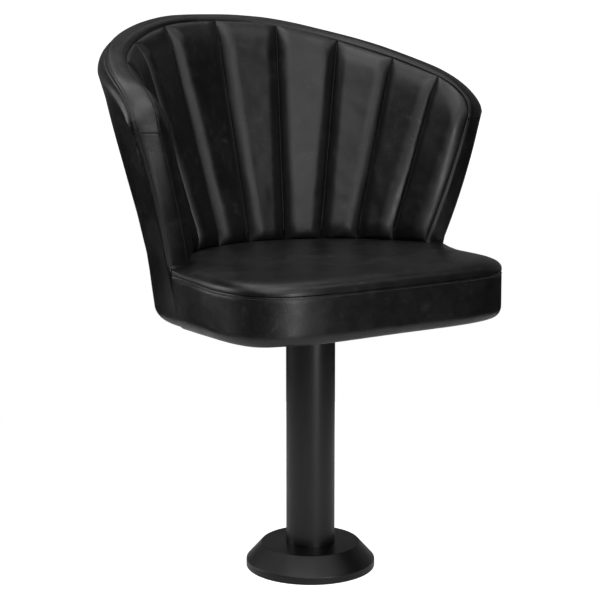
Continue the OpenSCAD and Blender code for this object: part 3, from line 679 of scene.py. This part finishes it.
def studio_white(name, strength):
    """The floor's and the backdrop's finish: it keeps shadows and is white behind the object."""
    mirrored_share = 0.05
    finish = Finish(name)
    finish.plain(bpy.context.scene.armchair_looks.floor, 0.85)
    path = finish.add("ShaderNodeLightPath").outputs
    seen = finish.joined("MULTIPLY", path["Is Glossy Ray"], mirrored_share)
    seen = finish.joined("ADD", path["Is Camera Ray"], seen)
    seen = finish.joined("ADD", seen, path["Is Transmission Ray"])
    seen = finish.joined("MINIMUM", seen, 1.0)
    finish.put("Emission Strength", finish.joined("MULTIPLY", seen, strength))
    finish.put("Emission Color", (1, 1, 1, 1))
    finish.put("Specular IOR Level", 0)
    finish.bumped(finish.noise(90, 2), 0.0001)
    return finish.material


# Pieces


def leather_piece(mesh, name, nodes):
    """A padded piece of black leather that stands for some of the solids."""
    dress(finished(mesh, name, upholstery_leather()), nodes)


class ARMCHAIR_OT_flutes(bpy.types.Operator):
    """Make the ten padded flutes of the inner back"""

    bl_idname = "armchair.flutes"
    bl_label = "Flutes"

    def execute(self, context):
        back = context.scene.armchair_back
        chair = lines()
        steps = 36, 90
        across_crowding, up_crowding = 0.6, 0.75
        joint = 0.0025
        pad_depth = 0.026
        hidden_share = 0.06
        face_crown = 0.0025
        flank_steepness, end_steepness = 0.72, 0.6
        set_back_from = 0.7
        max_flank_share = 0.46
        side_seed = {"left": 3.7, "right": 11.2}

        def swell(middle, u, share):
            """How far a flute's face stands out at u across it and a share of the way up."""
            width = (chair.wall(middle + 0.5, share) - chair.wall(middle - 0.5, share)).length
            length = (chair.rim(middle) - chair.foot(middle)).length
            flank_w = min(back.flute_flank_w, max_flank_share * width)
            flank = quarter_round(min(u, 1 - u) * width, flank_w, steepness=flank_steepness)
            ends = quarter_round(share * length, back.flute_foot_reach, steepness=end_steepness)
            ends *= quarter_round((1 - share) * length, back.flute_top_reach, steepness=end_steepness)
            return ends * (back.flute_depth * flank + face_crown * (1 - (2 * u - 1) ** 2))

        for side, turn in SIDES.items():
            for index in range(back.flutes_side):
                high = back.flutes_side if index + 1 == back.flutes_side else index + 1 - joint

                def place(u, v, depth):
                    across = crowded(u, across_crowding)
                    k = clamp(index + across, index + joint, high)
                    out = pad_depth if depth > 0.5 else 0
                    if v < hidden_share:
                        z = mix(chair.seat.seam_z, chair.foot(k).z, v / hidden_share)
                        return mirrored(chair.low(k, z, out), turn)
                    share = crowded((v - hidden_share) / (1 - hidden_share), up_crowding)
                    if share >= 1:
                        return mirrored(chair.under_band(k, out), turn)
                    level = Vector((turn * (index + across), side_seed[side], share * 4))
                    stand = swell(index + 0.5, across, share)
                    stand *= 1 + sway(level, 0.7, 0.05) + sway(level, 0.23, 0.025)
                    p = chair.up(k, share, out or -stand)
                    if out:
                        back_by = chair.under_band(k, out) - chair.up(k, 1, out)
                        p += smooth((share - set_back_from) / (1 - set_back_from)) * back_by
                    return mirrored(p, turn)

                name = f"{side}_{index + 1}"
                mesh = bend(flat_slab(*steps), place)
                leather_piece(mesh, f"flute_pad_{name}", [f"flute_{name}"])
        return {"FINISHED"}


class ARMCHAIR_OT_border(bpy.types.Operator):
    """Make the padded border band round the rim and down the arm fronts"""

    bl_idname = "armchair.border"
    bl_label = "Border band"

    def execute(self, context):
        chair = lines()
        seam = chair.last + chair.cross_seam
        close = (0, 0.0022, 0.006, 0.011, 0.018, 0.027, 0.038)
        close_reach = 0.05

        def make(name, stations, turn, node_name):
            rows = len(stations) - 1

            def place(u, v, depth):
                w, across = stations[round(v * rows)], crowded(u, 0.85)
                p = chair.band_under(across, w) if depth > 0.5 else chair.band(across, w)
                return mirrored(p, turn)

            leather_piece(bend(flat_slab(40, rows), place), name, [node_name])

        top_end = seam - chair.seam_gap
        inner = top_end - close_reach
        half = [inner * step / 180 for step in range(181)] + [top_end - s for s in reversed(close)]
        make("border_roll", [-w for w in reversed(half[1:])] + half, 1, "border_top")
        start = seam + chair.seam_gap
        down = [start + s for s in close]
        down += [mix(start + close_reach, chair.last + 2, step / 60) for step in range(61)]
        for side, turn in SIDES.items():
            make(f"border_end_{side}", down, turn, f"border_lower_{side}")
        return {"FINISHED"}


class ARMCHAIR_OT_outer_cover(bpy.types.Operator):
    """Make the smooth leather round the outside of the back"""

    bl_idname = "armchair.outer_cover"
    bl_label = "Outer cover"

    def execute(self, context):
        back, seat = context.scene.armchair_back, context.scene.armchair_seat
        chair = lines()
        tuck = 0.025
        shoulder, arm_shoulder = 0.014, 0.002
        back_edge_r = 0.023
        fullness, full_height = 0.0024, 0.16
        wall_ups, wall_top = 26, 0.84
        beside_band = 0.0003

        def belly(k, z):
            """The padding's fullness low on the outside, none at the arm's front."""
            rise = clamp((z - seat.bottom_z) / full_height)
            return fullness * math.sin(math.pi * rise) * (1 - (abs(k) / chair.last) ** 6)

        def rows(k):
            """The outer face and its directions, from the tuck to the border's outer seam."""
            r = mix(back_edge_r, seat.lower_edge_r, (abs(k) / chair.last) ** 4)
            low_z = seat.bottom_z + r
            flat = chair.low_outer_t(k, low_z) + belly(k, low_z)
            out_way, up_way = outward(chair.foot(k)), Vector((0, 0, 1))
            made = [(chair.low(k, seat.bottom_z, flat - r - tuck), -up_way)]
            for a in quarter(8):
                z = seat.bottom_z + r * (1 - math.cos(a))
                p = chair.low(k, z, flat - r * (1 - math.sin(a)))
                made.append((p, out_way * math.sin(a) - up_way * math.cos(a)))
            for z_share in (0.25, 0.5, 0.75, 1):
                z = mix(low_z, seat.seam_z, z_share)
                made.append((chair.low(k, z, chair.low_outer_t(k, z) + belly(k, z)), out_way))
            for step in range(1, wall_ups + 1):
                share = wall_top * step / wall_ups
                wall = chair.wall(k, share)
                wave = sway(wall, 0.11, 0.0006)
                p = chair.up(k, share, chair.outer_t(k, share) + belly(k, wall.z) + wave)
                made.append((p, outward(p)))
            out = chair.band_width(k) + beside_band
            low = min(0, chair.tilt(k)) - mix(shoulder, arm_shoulder, chair.last_share(k))
            for a in quarter(10):
                rise = mix(low, chair.tilt(k), math.sin(a))
                p = chair.above(k, rise, mix(out, chair.rim_t(k), math.cos(a) ** 1.3))
                made.append((p, outward(p) * math.cos(a) + chair.edge_up(k) * math.sin(a)))
            return made

        count = len(rows(0)) - 1
        around = 200
        cache = {}

        def place(u, v, depth):
            k = mix(-chair.last, chair.last, v)
            key = round(v * around)
            if key not in cache:
                cache[key] = rows(k)
            p, normal = cache[key][round(u * count)]
            return p - normal * back.outer_skin * 0.5 * depth

        mesh = bend(flat_slab(count, around), place)
        leather_piece(mesh, "back_cover", ["outer_back_cover"])
        return {"FINISHED"}


def seat_outline(seat):
    """The seat's outline in front of the arms, from the right arm round to the left one."""

    def side_x(y):
        return seat.half_width * (1 - ((y + seat.widest) / (seat.half_width * 2)) ** 2) ** 0.5

    def front(angle):
        c, s = abs(math.cos(angle)), abs(math.sin(angle))
        return Vector((
            seat.half_width * c ** (2 / seat.corner_power),
            -seat.widest - (seat.front - seat.widest) * s ** (2 / seat.corner_power),
        ))

    start_y = -seat.half_width * math.sin(math.radians(1.5)) - 0.0003
    points = []
    for step in range(12):
        y = mix(start_y, -seat.widest, step / 12)
        points.append(Vector((side_x(y), y)))
    for step in range(61):
        points.append(front(math.pi / 2 * (1 - math.cos(math.pi * step / 60)) / 2))
    points += [Vector((-p.x, p.y)) for p in reversed(points[:-1])]
    return points, start_y


def seam_rise(p, start_y):
    """How far the seat's seam climbs where it nears the arms."""
    climb, reach = 0.009, 0.1
    return climb * (1 - smooth((start_y - p.y) / reach))


def arm_swell(seat, p, start_y):
    """How far the seat's side swells where it meets the arms."""
    reach = 0.09
    return seat.arm_flare * smooth(1 - (start_y - p.y) / reach)


def resampled(points, count, closed=False):
    """Points at even steps along a line."""
    line = points + points[:1] if closed else points
    lengths = [0.0]
    for a, b in zip(line, line[1:]):
        lengths.append(lengths[-1] + (b - a).length)
    total = lengths[-1]
    made, piece = [], 0
    for step in range(count):
        target = total * step / (count if closed else count - 1)
        while piece < len(line) - 2 and lengths[piece + 1] < target:
            piece += 1
        span = lengths[piece + 1] - lengths[piece]
        made.append(line[piece].lerp(line[piece + 1], clamp((target - lengths[piece]) / span)))
    return made


class ARMCHAIR_OT_seat_side(bpy.types.Operator):
    """Make the leather round the seat's sides"""

    bl_idname = "armchair.seat_side"
    bl_label = "Seat side"

    def execute(self, context):
        seat = context.scene.armchair_seat
        outline, start_y = seat_outline(seat)
        around = 300
        outline = resampled(outline, around + 1)
        r = seat.lower_edge_r
        height = seat.seam_z - seat.bottom_z
        tuck = 0.025
        slack, slack_from, slack_span, slack_up = 0.0022, 0.19, 0.04, 0.035
        pull, pull_w = 0.0008, 0.0016

        def swelled(p, z, inset):
            up = clamp((z - seat.bottom_z) / height)
            q = p * (1 + (up * arm_swell(seat, p, start_y) - inset) / p.length)
            return Vector((q.x, q.y, z + up * seam_rise(p, start_y)))

        bend_low = seat.bottom_z + r
        profile = [(seat.bottom_z, r + tuck)]
        profile += [(bend_low - r * math.cos(a), r * (1 - math.sin(a))) for a in quarter(8)]
        top_round = 0.004
        flat_top = seat.seam_z - top_round
        profile += [(mix(bend_low, flat_top, step / 24), 0) for step in range(1, 25)]
        profile += [
            (flat_top + top_round * math.sin(a), top_round * (1 - math.cos(a))) for a in quarter(4)[1:]
        ]
        count = len(profile) - 1

        def place(u, v, depth):
            z, inset = profile[round(u * count)]
            skin = 0.003 * depth
            rise = skin if z < bend_low else 0
            flat = outline[round(v * around)]
            sag = smooth((abs(flat.x) - slack_from) / slack_span)
            z -= slack * sag * (1 - clamp((z - seat.bottom_z) / slack_up))
            at = Vector((flat.x, flat.y, z))
            low = smooth((seat.bottom_z + 0.03 - z) / 0.02)
            dent = sway(at, 0.05, 0.0006) + sway(at, 0.021, 0.0007 * low)
            dent += pull * math.exp(-(((seat.seam_z - SEAT_STITCH_DROP - z) / pull_w) ** 2))
            inset += dent * (1 - depth) * smooth(v * 40) * smooth((1 - v) * 40)
            return swelled(flat, min(z + rise, seat.seam_z), inset + skin)

        mesh = bend(flat_slab(count, around), place)
        leather_piece(mesh, "seat_side", ["seat_boxing"])
        return {"FINISHED"}


class ARMCHAIR_OT_seat_top(bpy.types.Operator):
    """Make the crowned top of the seat"""

    bl_idname = "armchair.seat_top"
    bl_label = "Seat top"

    def execute(self, context):
        seat = context.scene.armchair_seat
        chair = lines()
        outline, start_y = seat_outline(seat)
        wall_gap = 0.0006
        wall_rise, wall_rise_more, arm_rise, lip = 0.012, 0.008, 0.0065, 0.001
        crowding, edge_power, crown_power, still_edge = 2.2, 10, 0.42, 0.12
        open_y = start_y - 0.0002
        ring = []
        for step in range(81):
            k = mix(-chair.last, chair.last, step / 80)
            flat = chair.foot(k).xy
            flat *= 1 - wall_gap / flat.length
            ring.append(Vector((flat.x, flat.y, wall_rise + wall_rise_more * (k / chair.last) ** 2)))

        def flared(p):
            q = p * (1 + arm_swell(seat, p, start_y) / p.length)
            edge = mix(lip, arm_rise, smooth((p.y + seat.widest) / 0.033))
            return Vector((q.x, q.y, seam_rise(p, start_y) + edge))

        arm = Vector((ring[-1].x, open_y, ring[-1].z))
        front = [p for p in outline if p.y < open_y]
        corner = front[0].lerp(outline[0], (open_y - front[0].y) / (outline[0].y - front[0].y))
        side = [flared(p) for p in [corner] + front]
        ring += [arm, *side, mirrored(side[0], -1), mirrored(arm, -1)]
        around = 420
        ring = resampled(ring, around, closed=True)
        middle = Vector((0, -seat.widest / 2, 0))
        rings = 56
        mesh = unit_grid(around, rings + 2)
        for vertex in mesh.verts:
            p = ring[round(vertex.co.x * around) % around]
            row = round(vertex.co.y * (rings + 2))
            if row == 0:
                vertex.co = Vector((middle.x, middle.y, seat.seam_z))
            elif row == 1:
                vertex.co = Vector((p.x, p.y, seat.seam_z + seam_rise(p, start_y)))
            else:
                share = 1 - ((row - 2) / rings) ** crowding
                q = middle.lerp(p, share)
                rise = mix(p.z, seat.crown, (1 - share**edge_power) ** crown_power)
                at = Vector((q.x, q.y, 0.3))
                waves = sway(at, 0.085, 0.0011) + sway(at, 0.03, 0.0003)
                rise += smooth((1 - share) / still_edge) * waves
                vertex.co = Vector((q.x, q.y, seat.seam_z + rise))
        leather_piece(mesh, "seat_panel", ["seat_top"])
        return {"FINISHED"}


def seat_core(chair, inset_back, inset_front, z):
    """The outline of what lies inside the seat's leather, closed, seen from above."""
    outline, _ = seat_outline(chair.seat)
    points = []
    for step in range(61):
        k = mix(-chair.last, chair.last, step / 60)
        points.append(chair.low(k, z, chair.low_outer_t(k, z) - inset_back).xy)
    return points + [p * (1 - inset_front / p.length) for p in outline]


class ARMCHAIR_OT_seat_inside(bpy.types.Operator):
    """Make the seat's foam and the lining cloth under it"""

    bl_idname = "armchair.seat_inside"
    bl_label = "Seat inside"

    def execute(self, context):
        chair = lines()
        self.make_foam(chair)
        self.make_lining(chair)
        return {"FINISHED"}

    def make_foam(self, chair):
        """A block of cut foam on the board, closed at its middle above and below."""
        low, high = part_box("seat_foam")
        board_z, thick = low[2], high[2] - low[2]
        around = 260
        ring = resampled(seat_core(chair, 0.0167, 0.0036, board_z), around, closed=True)
        corner_r = 0.004
        turns = (0, 0.4, 0.8, 1.2, math.pi / 2)
        rounded = [(corner_r * (1 - math.cos(a)), corner_r * (1 - math.sin(a))) for a in turns]
        profile = [(0, None), *rounded]
        profile += [(thick * share, 0) for share in (0.2, 0.4, 0.6, 0.8)]
        profile += [(thick - corner_r * (1 - math.sin(a)), corner_r * (1 - math.cos(a))) for a in turns]
        profile.append((thick, None))
        rows = len(profile) - 1
        mesh = unit_grid(around, rows)
        for vertex in mesh.verts:
            flat = ring[round(vertex.co.x * around) % around]
            rise, inset = profile[round(vertex.co.y * rows)]
            flat = flat * (0 if inset is None else 1 - inset / flat.length)
            vertex.co = Vector((flat.x, flat.y, board_z + rise))
        dress(finished(mesh, "seat_foam_block", seating_foam()), ["seat_foam"])

    def make_lining(self, chair):
        """Black cloth stapled under the seat, with a square hole for the plate."""
        top_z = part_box("dust_cover")[1][2]
        around, rows = 256, 12
        half = 0.101
        under_board, thin, slack = 0.0001, 0.0006, 0.0003
        outer = resampled(seat_core(chair, 0.0283, 0.028, top_z), around, closed=True)
        square = [Vector((x * half, y * half)) for x, y in ((-1, -1), (-1, 1), (1, 1), (1, -1))]
        hole = resampled(square, around, closed=True)
        angle = [math.atan2(p.y, p.x) for p in hole]
        paired = []
        for i, p in enumerate(outer):
            turn = math.atan2(p.y, p.x)
            nearest = min(range(around), key=lambda i: abs(math.remainder(angle[i] - turn, math.tau)))
            paired.append(hole[nearest])

        def place(u, v, depth):
            i = round(v * around) % around
            flat = outer[i].lerp(paired[i], u)
            unevenness = 1 + noise.noise(Vector((flat.x, flat.y, 0)) * 30)
            sag = slack * math.sin(math.pi * u) * unevenness
            return Vector((flat.x, flat.y, top_z - under_board - sag - thin * (1 - depth)))

        piece = finished(bend(flat_slab(rows, around), place), "seat_lining", lining_cloth())
        dress(piece, ["dust_cover"])


class ARMCHAIR_OT_stitches(bpy.types.Operator):
    """Sew the topstitching on the border band, in the flute seams and round the seat"""

    bl_idname = "armchair.stitches"
    bl_label = "Stitches"

    def execute(self, context):
        chair = lines()
        seam = chair.last + chair.cross_seam
        clear, foot = 0.02, chair.last + 1.96
        spans = (
            (clear - seam, seam - clear, 900),
            (seam + clear, foot, 160),
            (-foot, -seam - clear, 160),
        )
        rows = []
        for start, stop, count in spans:
            for far in (False, True):
                path = []
                for step in range(count + 1):
                    w = mix(start, stop, step / count)
                    u = chair.stitch_inset / chair.band_width(w)
                    path.append(chair.band(1 - u if far else u, w, 0.0001))
                rows.append(path)
        self.sew("border_stitches", rows, 0.0034, 0.0021, 0.00036)
        # Painted shade of the needle holes along the border's stitching.
        self.paint_hole_shade("border_hole_shade", rows, 0.0034)
        in_seam = 0.0024
        rows = [
            [chair.up(k, mix(0.05, 0.985, step / 120), -in_seam) for step in range(121)]
            for k in range(1 - chair.last, chair.last)
        ]
        self.sew("flute_stitches", rows, 0.0040, 0.0027, 0.00055)
        seat = chair.seat
        outline, start_y = seat_outline(seat)
        path = []
        for p in outline[2:-2]:
            q = p * (1 + (arm_swell(seat, p, start_y) - 0.0002) / p.length)
            path.append(Vector((q.x, q.y, seat.seam_z - SEAT_STITCH_DROP + seam_rise(p, start_y))))
        self.sew("seat_stitches", [path], 0.0036, 0.0022, 0.00038)
        # Painted shade of the needle holes along the seat's stitching.
        self.paint_hole_shade("seat_hole_shade", [path], 0.0036)
        return {"FINISHED"}

    def paint_hole_shade(self, name, paths, pitch):
        """Puts a small dark ball where one stitch ends and the next begins: painted shade of the needle
        hole.
        """
        whole = bmesh.new()
        for path in paths:
            row = bmesh.new()
            for p in resampled(path, stitch_count(path, pitch) + 1):
                place = Matrix.Translation(p)
                bmesh.ops.create_icosphere(row, subdivisions=1, radius=0.0006, matrix=place)
            add_to(whole, row)
        dress(finished(whole, name, painted_hole_shade(), math.pi))

    def sew(self, name, paths, pitch, length, radius):
        """Lays one short thread after another along each path."""
        whole = bmesh.new()
        size = Matrix.Diagonal((length / 2, radius, radius, 1))
        for path in paths:
            count = stitch_count(path, pitch)
            points = resampled(path, 2 * count + 1)
            row = bmesh.new()
            for start, middle, end in zip(points[::2], points[1::2], points[2::2]):
                along = (end - start).normalized()
                turn = along.to_track_quat("X", "Z").to_matrix().to_4x4()
                place = Matrix.Translation(middle) @ turn @ size
                bmesh.ops.create_uvsphere(row, u_segments=6, v_segments=4, radius=1, matrix=place)
            add_to(whole, row)
        dress(finished(whole, name, thread_with_painted_highlight(), math.pi))


def stitch_count(path, pitch):
    return int(sum((b - a).length for a, b in zip(path, path[1:])) / pitch)


class ARMCHAIR_OT_finishes(bpy.types.Operator):
    """Give the steel, wood and plastic pieces their finishes"""

    bl_idname = "armchair.finishes"
    bl_label = "Finishes"

    def execute(self, context):
        finishes = (
            (satin_paint(), ("column_tube", "base_cover", "seat_plate")),
            (zinc_steel(), (
                "floor_flange", "bearing_housing", "spindle", "retaining_washer", "retaining_ring",
                "plate_bolts", "plate_washers", "tee_nuts", "shell_screws",
            )),
            (bearing_plastic(), ("lower_bush", "upper_bush", "thrust_washer")),
            (birch_plywood(), ("seat_board", "back_shell")),
        )
        for material, names in finishes:
            for name in names:
                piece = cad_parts[name]
                piece.data.materials.clear()
                piece.data.materials.append(material)
        return {"FINISHED"}


class ARMCHAIR_OT_stage(bpy.types.Operator):
    """Make the floor, the backdrop, the lamps and the camera"""

    bl_idname = "armchair.stage"
    bl_label = "Stage"

    def execute(self, context):
        floor_r, backdrop_r, backdrop_h, below_floor = 1.1, 6.5, 4.5, 0.0005
        mesh = bmesh.new()
        bmesh.ops.create_circle(mesh, cap_ends=True, segments=96, radius=floor_r)
        bmesh.ops.translate(mesh, verts=mesh.verts, vec=(0, 0, -below_floor))
        finished(mesh, "floor", studio_white("floor_white", 0.9))
        mesh = unit_grid(48, 1)
        for vertex in mesh.verts:
            turn = math.radians(mix(-45, 105, vertex.co.x))
            vertex.co = on_ring(turn, backdrop_r, vertex.co.y * backdrop_h - below_floor)
        finished(mesh, "backdrop", studio_white("backdrop_white", 1))
        middle, distance, disc = Vector((0, 0, 0.55)), 3.2, (1.5, 1.5)
        for name, azimuth, elevation, power in (
            ("floor_left_back", 225, 8, 18),
            ("floor_front", 0, 8, 5.5),
            ("floor_left_front", 330, 8, 4.5),
            ("front_low", 0, 32, 10),
            ("left_front_low", 330, 32, 12),
            ("left_low", 300, 32, 8),
            ("left_back_low", 240, 32, 4.5),
            ("front_high", 0, 58, 5),
            ("left_front_high", 315, 58, 17),
            ("left_high", 270, 58, 10),
            ("left_back_high", 225, 58, 6),
            ("right_front_high", 45, 58, 7.5),
            ("right_back_high", 135, 58, 4.5),
            ("back_high", 180, 58, 11),
            ("overhead", 0, 88, 20),
        ):
            self.add_lamp(context, name, middle, distance, azimuth, elevation, power, "DISK", disc)
        strip, low = (0.45, 0.7), Vector((0, 0, 0.4))
        self.add_lamp(context, "strip", low, 2.6, 353, 0, 12, "RECTANGLE", strip)
        self.make_world(context)
        self.make_camera(context)
        context.scene.view_settings.view_transform = "Standard"
        return {"FINISHED"}

    def add_lamp(self, context, name, aim, distance, azimuth, elevation, power, shape, size):
        """A soft lamp that looks at a point from an azimuth and an elevation in degrees."""
        lamp = bpy.data.lights.new(name, "AREA")
        lamp.shape = shape
        lamp.energy = power
        lamp.size, lamp.size_y = size
        a, e = math.radians(azimuth), math.radians(elevation)
        ray = Vector((math.sin(a) * math.cos(e), -math.cos(a) * math.cos(e), math.sin(e)))
        piece = bpy.data.objects.new(name, lamp)
        piece.location = aim + distance * ray
        piece.rotation_euler = (-ray).to_track_quat("-Z", "Y").to_euler()
        context.scene.collection.objects.link(piece)

    def make_world(self, context):
        """White for the camera and through glass. It gives the chair no light."""
        world = bpy.data.worlds.new("studio")
        world.use_nodes = True
        tree = world.node_tree
        path = tree.nodes.new("ShaderNodeLightPath")
        seen = tree.nodes.new("ShaderNodeMath")
        seen.operation = "MAXIMUM"
        tree.links.new(path.outputs["Is Camera Ray"], seen.inputs[0])
        tree.links.new(path.outputs["Is Transmission Ray"], seen.inputs[1])
        background = tree.nodes["Background"]
        background.inputs["Color"].default_value = (1, 1, 1, 1)
        tree.links.new(seen.outputs[0], background.inputs["Strength"])
        context.scene.world = world

    def make_camera(self, context):
        """The camera that was solved from the photograph."""
        camera = bpy.data.cameras.new("camera")
        camera.lens = 97.0
        camera.sensor_width = 36
        eye = bpy.data.objects.new("camera", camera)
        eye.location = (-1.3978, -2.0130, 0.8465)
        yaw, dip = 0.60027, 0.1712
        direction = Vector((
            math.sin(yaw) * math.cos(dip), math.cos(yaw) * math.cos(dip), -math.sin(dip)
        ))
        eye.rotation_euler = direction.to_track_quat("-Z", "Y").to_euler()
        context.scene.collection.objects.link(eye)
        context.scene.camera = eye


STEPS = (
    ARMCHAIR_OT_stage,
    ARMCHAIR_OT_flutes,
    ARMCHAIR_OT_border,
    ARMCHAIR_OT_outer_cover,
    ARMCHAIR_OT_seat_side,
    ARMCHAIR_OT_seat_top,
    ARMCHAIR_OT_seat_inside,
    ARMCHAIR_OT_stitches,
    ARMCHAIR_OT_finishes,
)


class ARMCHAIR_PT_panel(bpy.types.Panel):
    """Lists the chair's sizes and the steps that make it"""

    bl_idname = "ARMCHAIR_PT_panel"
    bl_label = "Armchair"
    bl_space_type = "VIEW_3D"
    bl_region_type = "UI"
    bl_category = "Armchair"

    def draw(self, context):
        scene = context.scene
        for group in (scene.armchair_back, scene.armchair_seat, scene.armchair_looks):
            box = self.layout.box()
            for name in group.__annotations__:
                box.prop(group, name)
        for step in STEPS:
            self.layout.operator(step.bl_idname)


CLASSES = (ArmchairBack, ArmchairSeat, ArmchairLooks, *STEPS, ARMCHAIR_PT_panel)


def register():
    for cls in CLASSES:
        bpy.utils.register_class(cls)
    bpy.types.Scene.armchair_back = PointerProperty(type=ArmchairBack)
    bpy.types.Scene.armchair_seat = PointerProperty(type=ArmchairSeat)
    bpy.types.Scene.armchair_looks = PointerProperty(type=ArmchairLooks)


def unregister():
    del bpy.types.Scene.armchair_looks
    del bpy.types.Scene.armchair_seat
    del bpy.types.Scene.armchair_back
    for cls in reversed(CLASSES):
        bpy.utils.unregister_class(cls)


def main():
    register()
    for step in STEPS:
        group, name = step.bl_idname.split(".")
        result = getattr(getattr(bpy.ops, group), name)()
        if result != {"FINISHED"}:
            raise RuntimeError(f"{step.bl_label} was not finished")


if __name__ == "__main__":
    main()
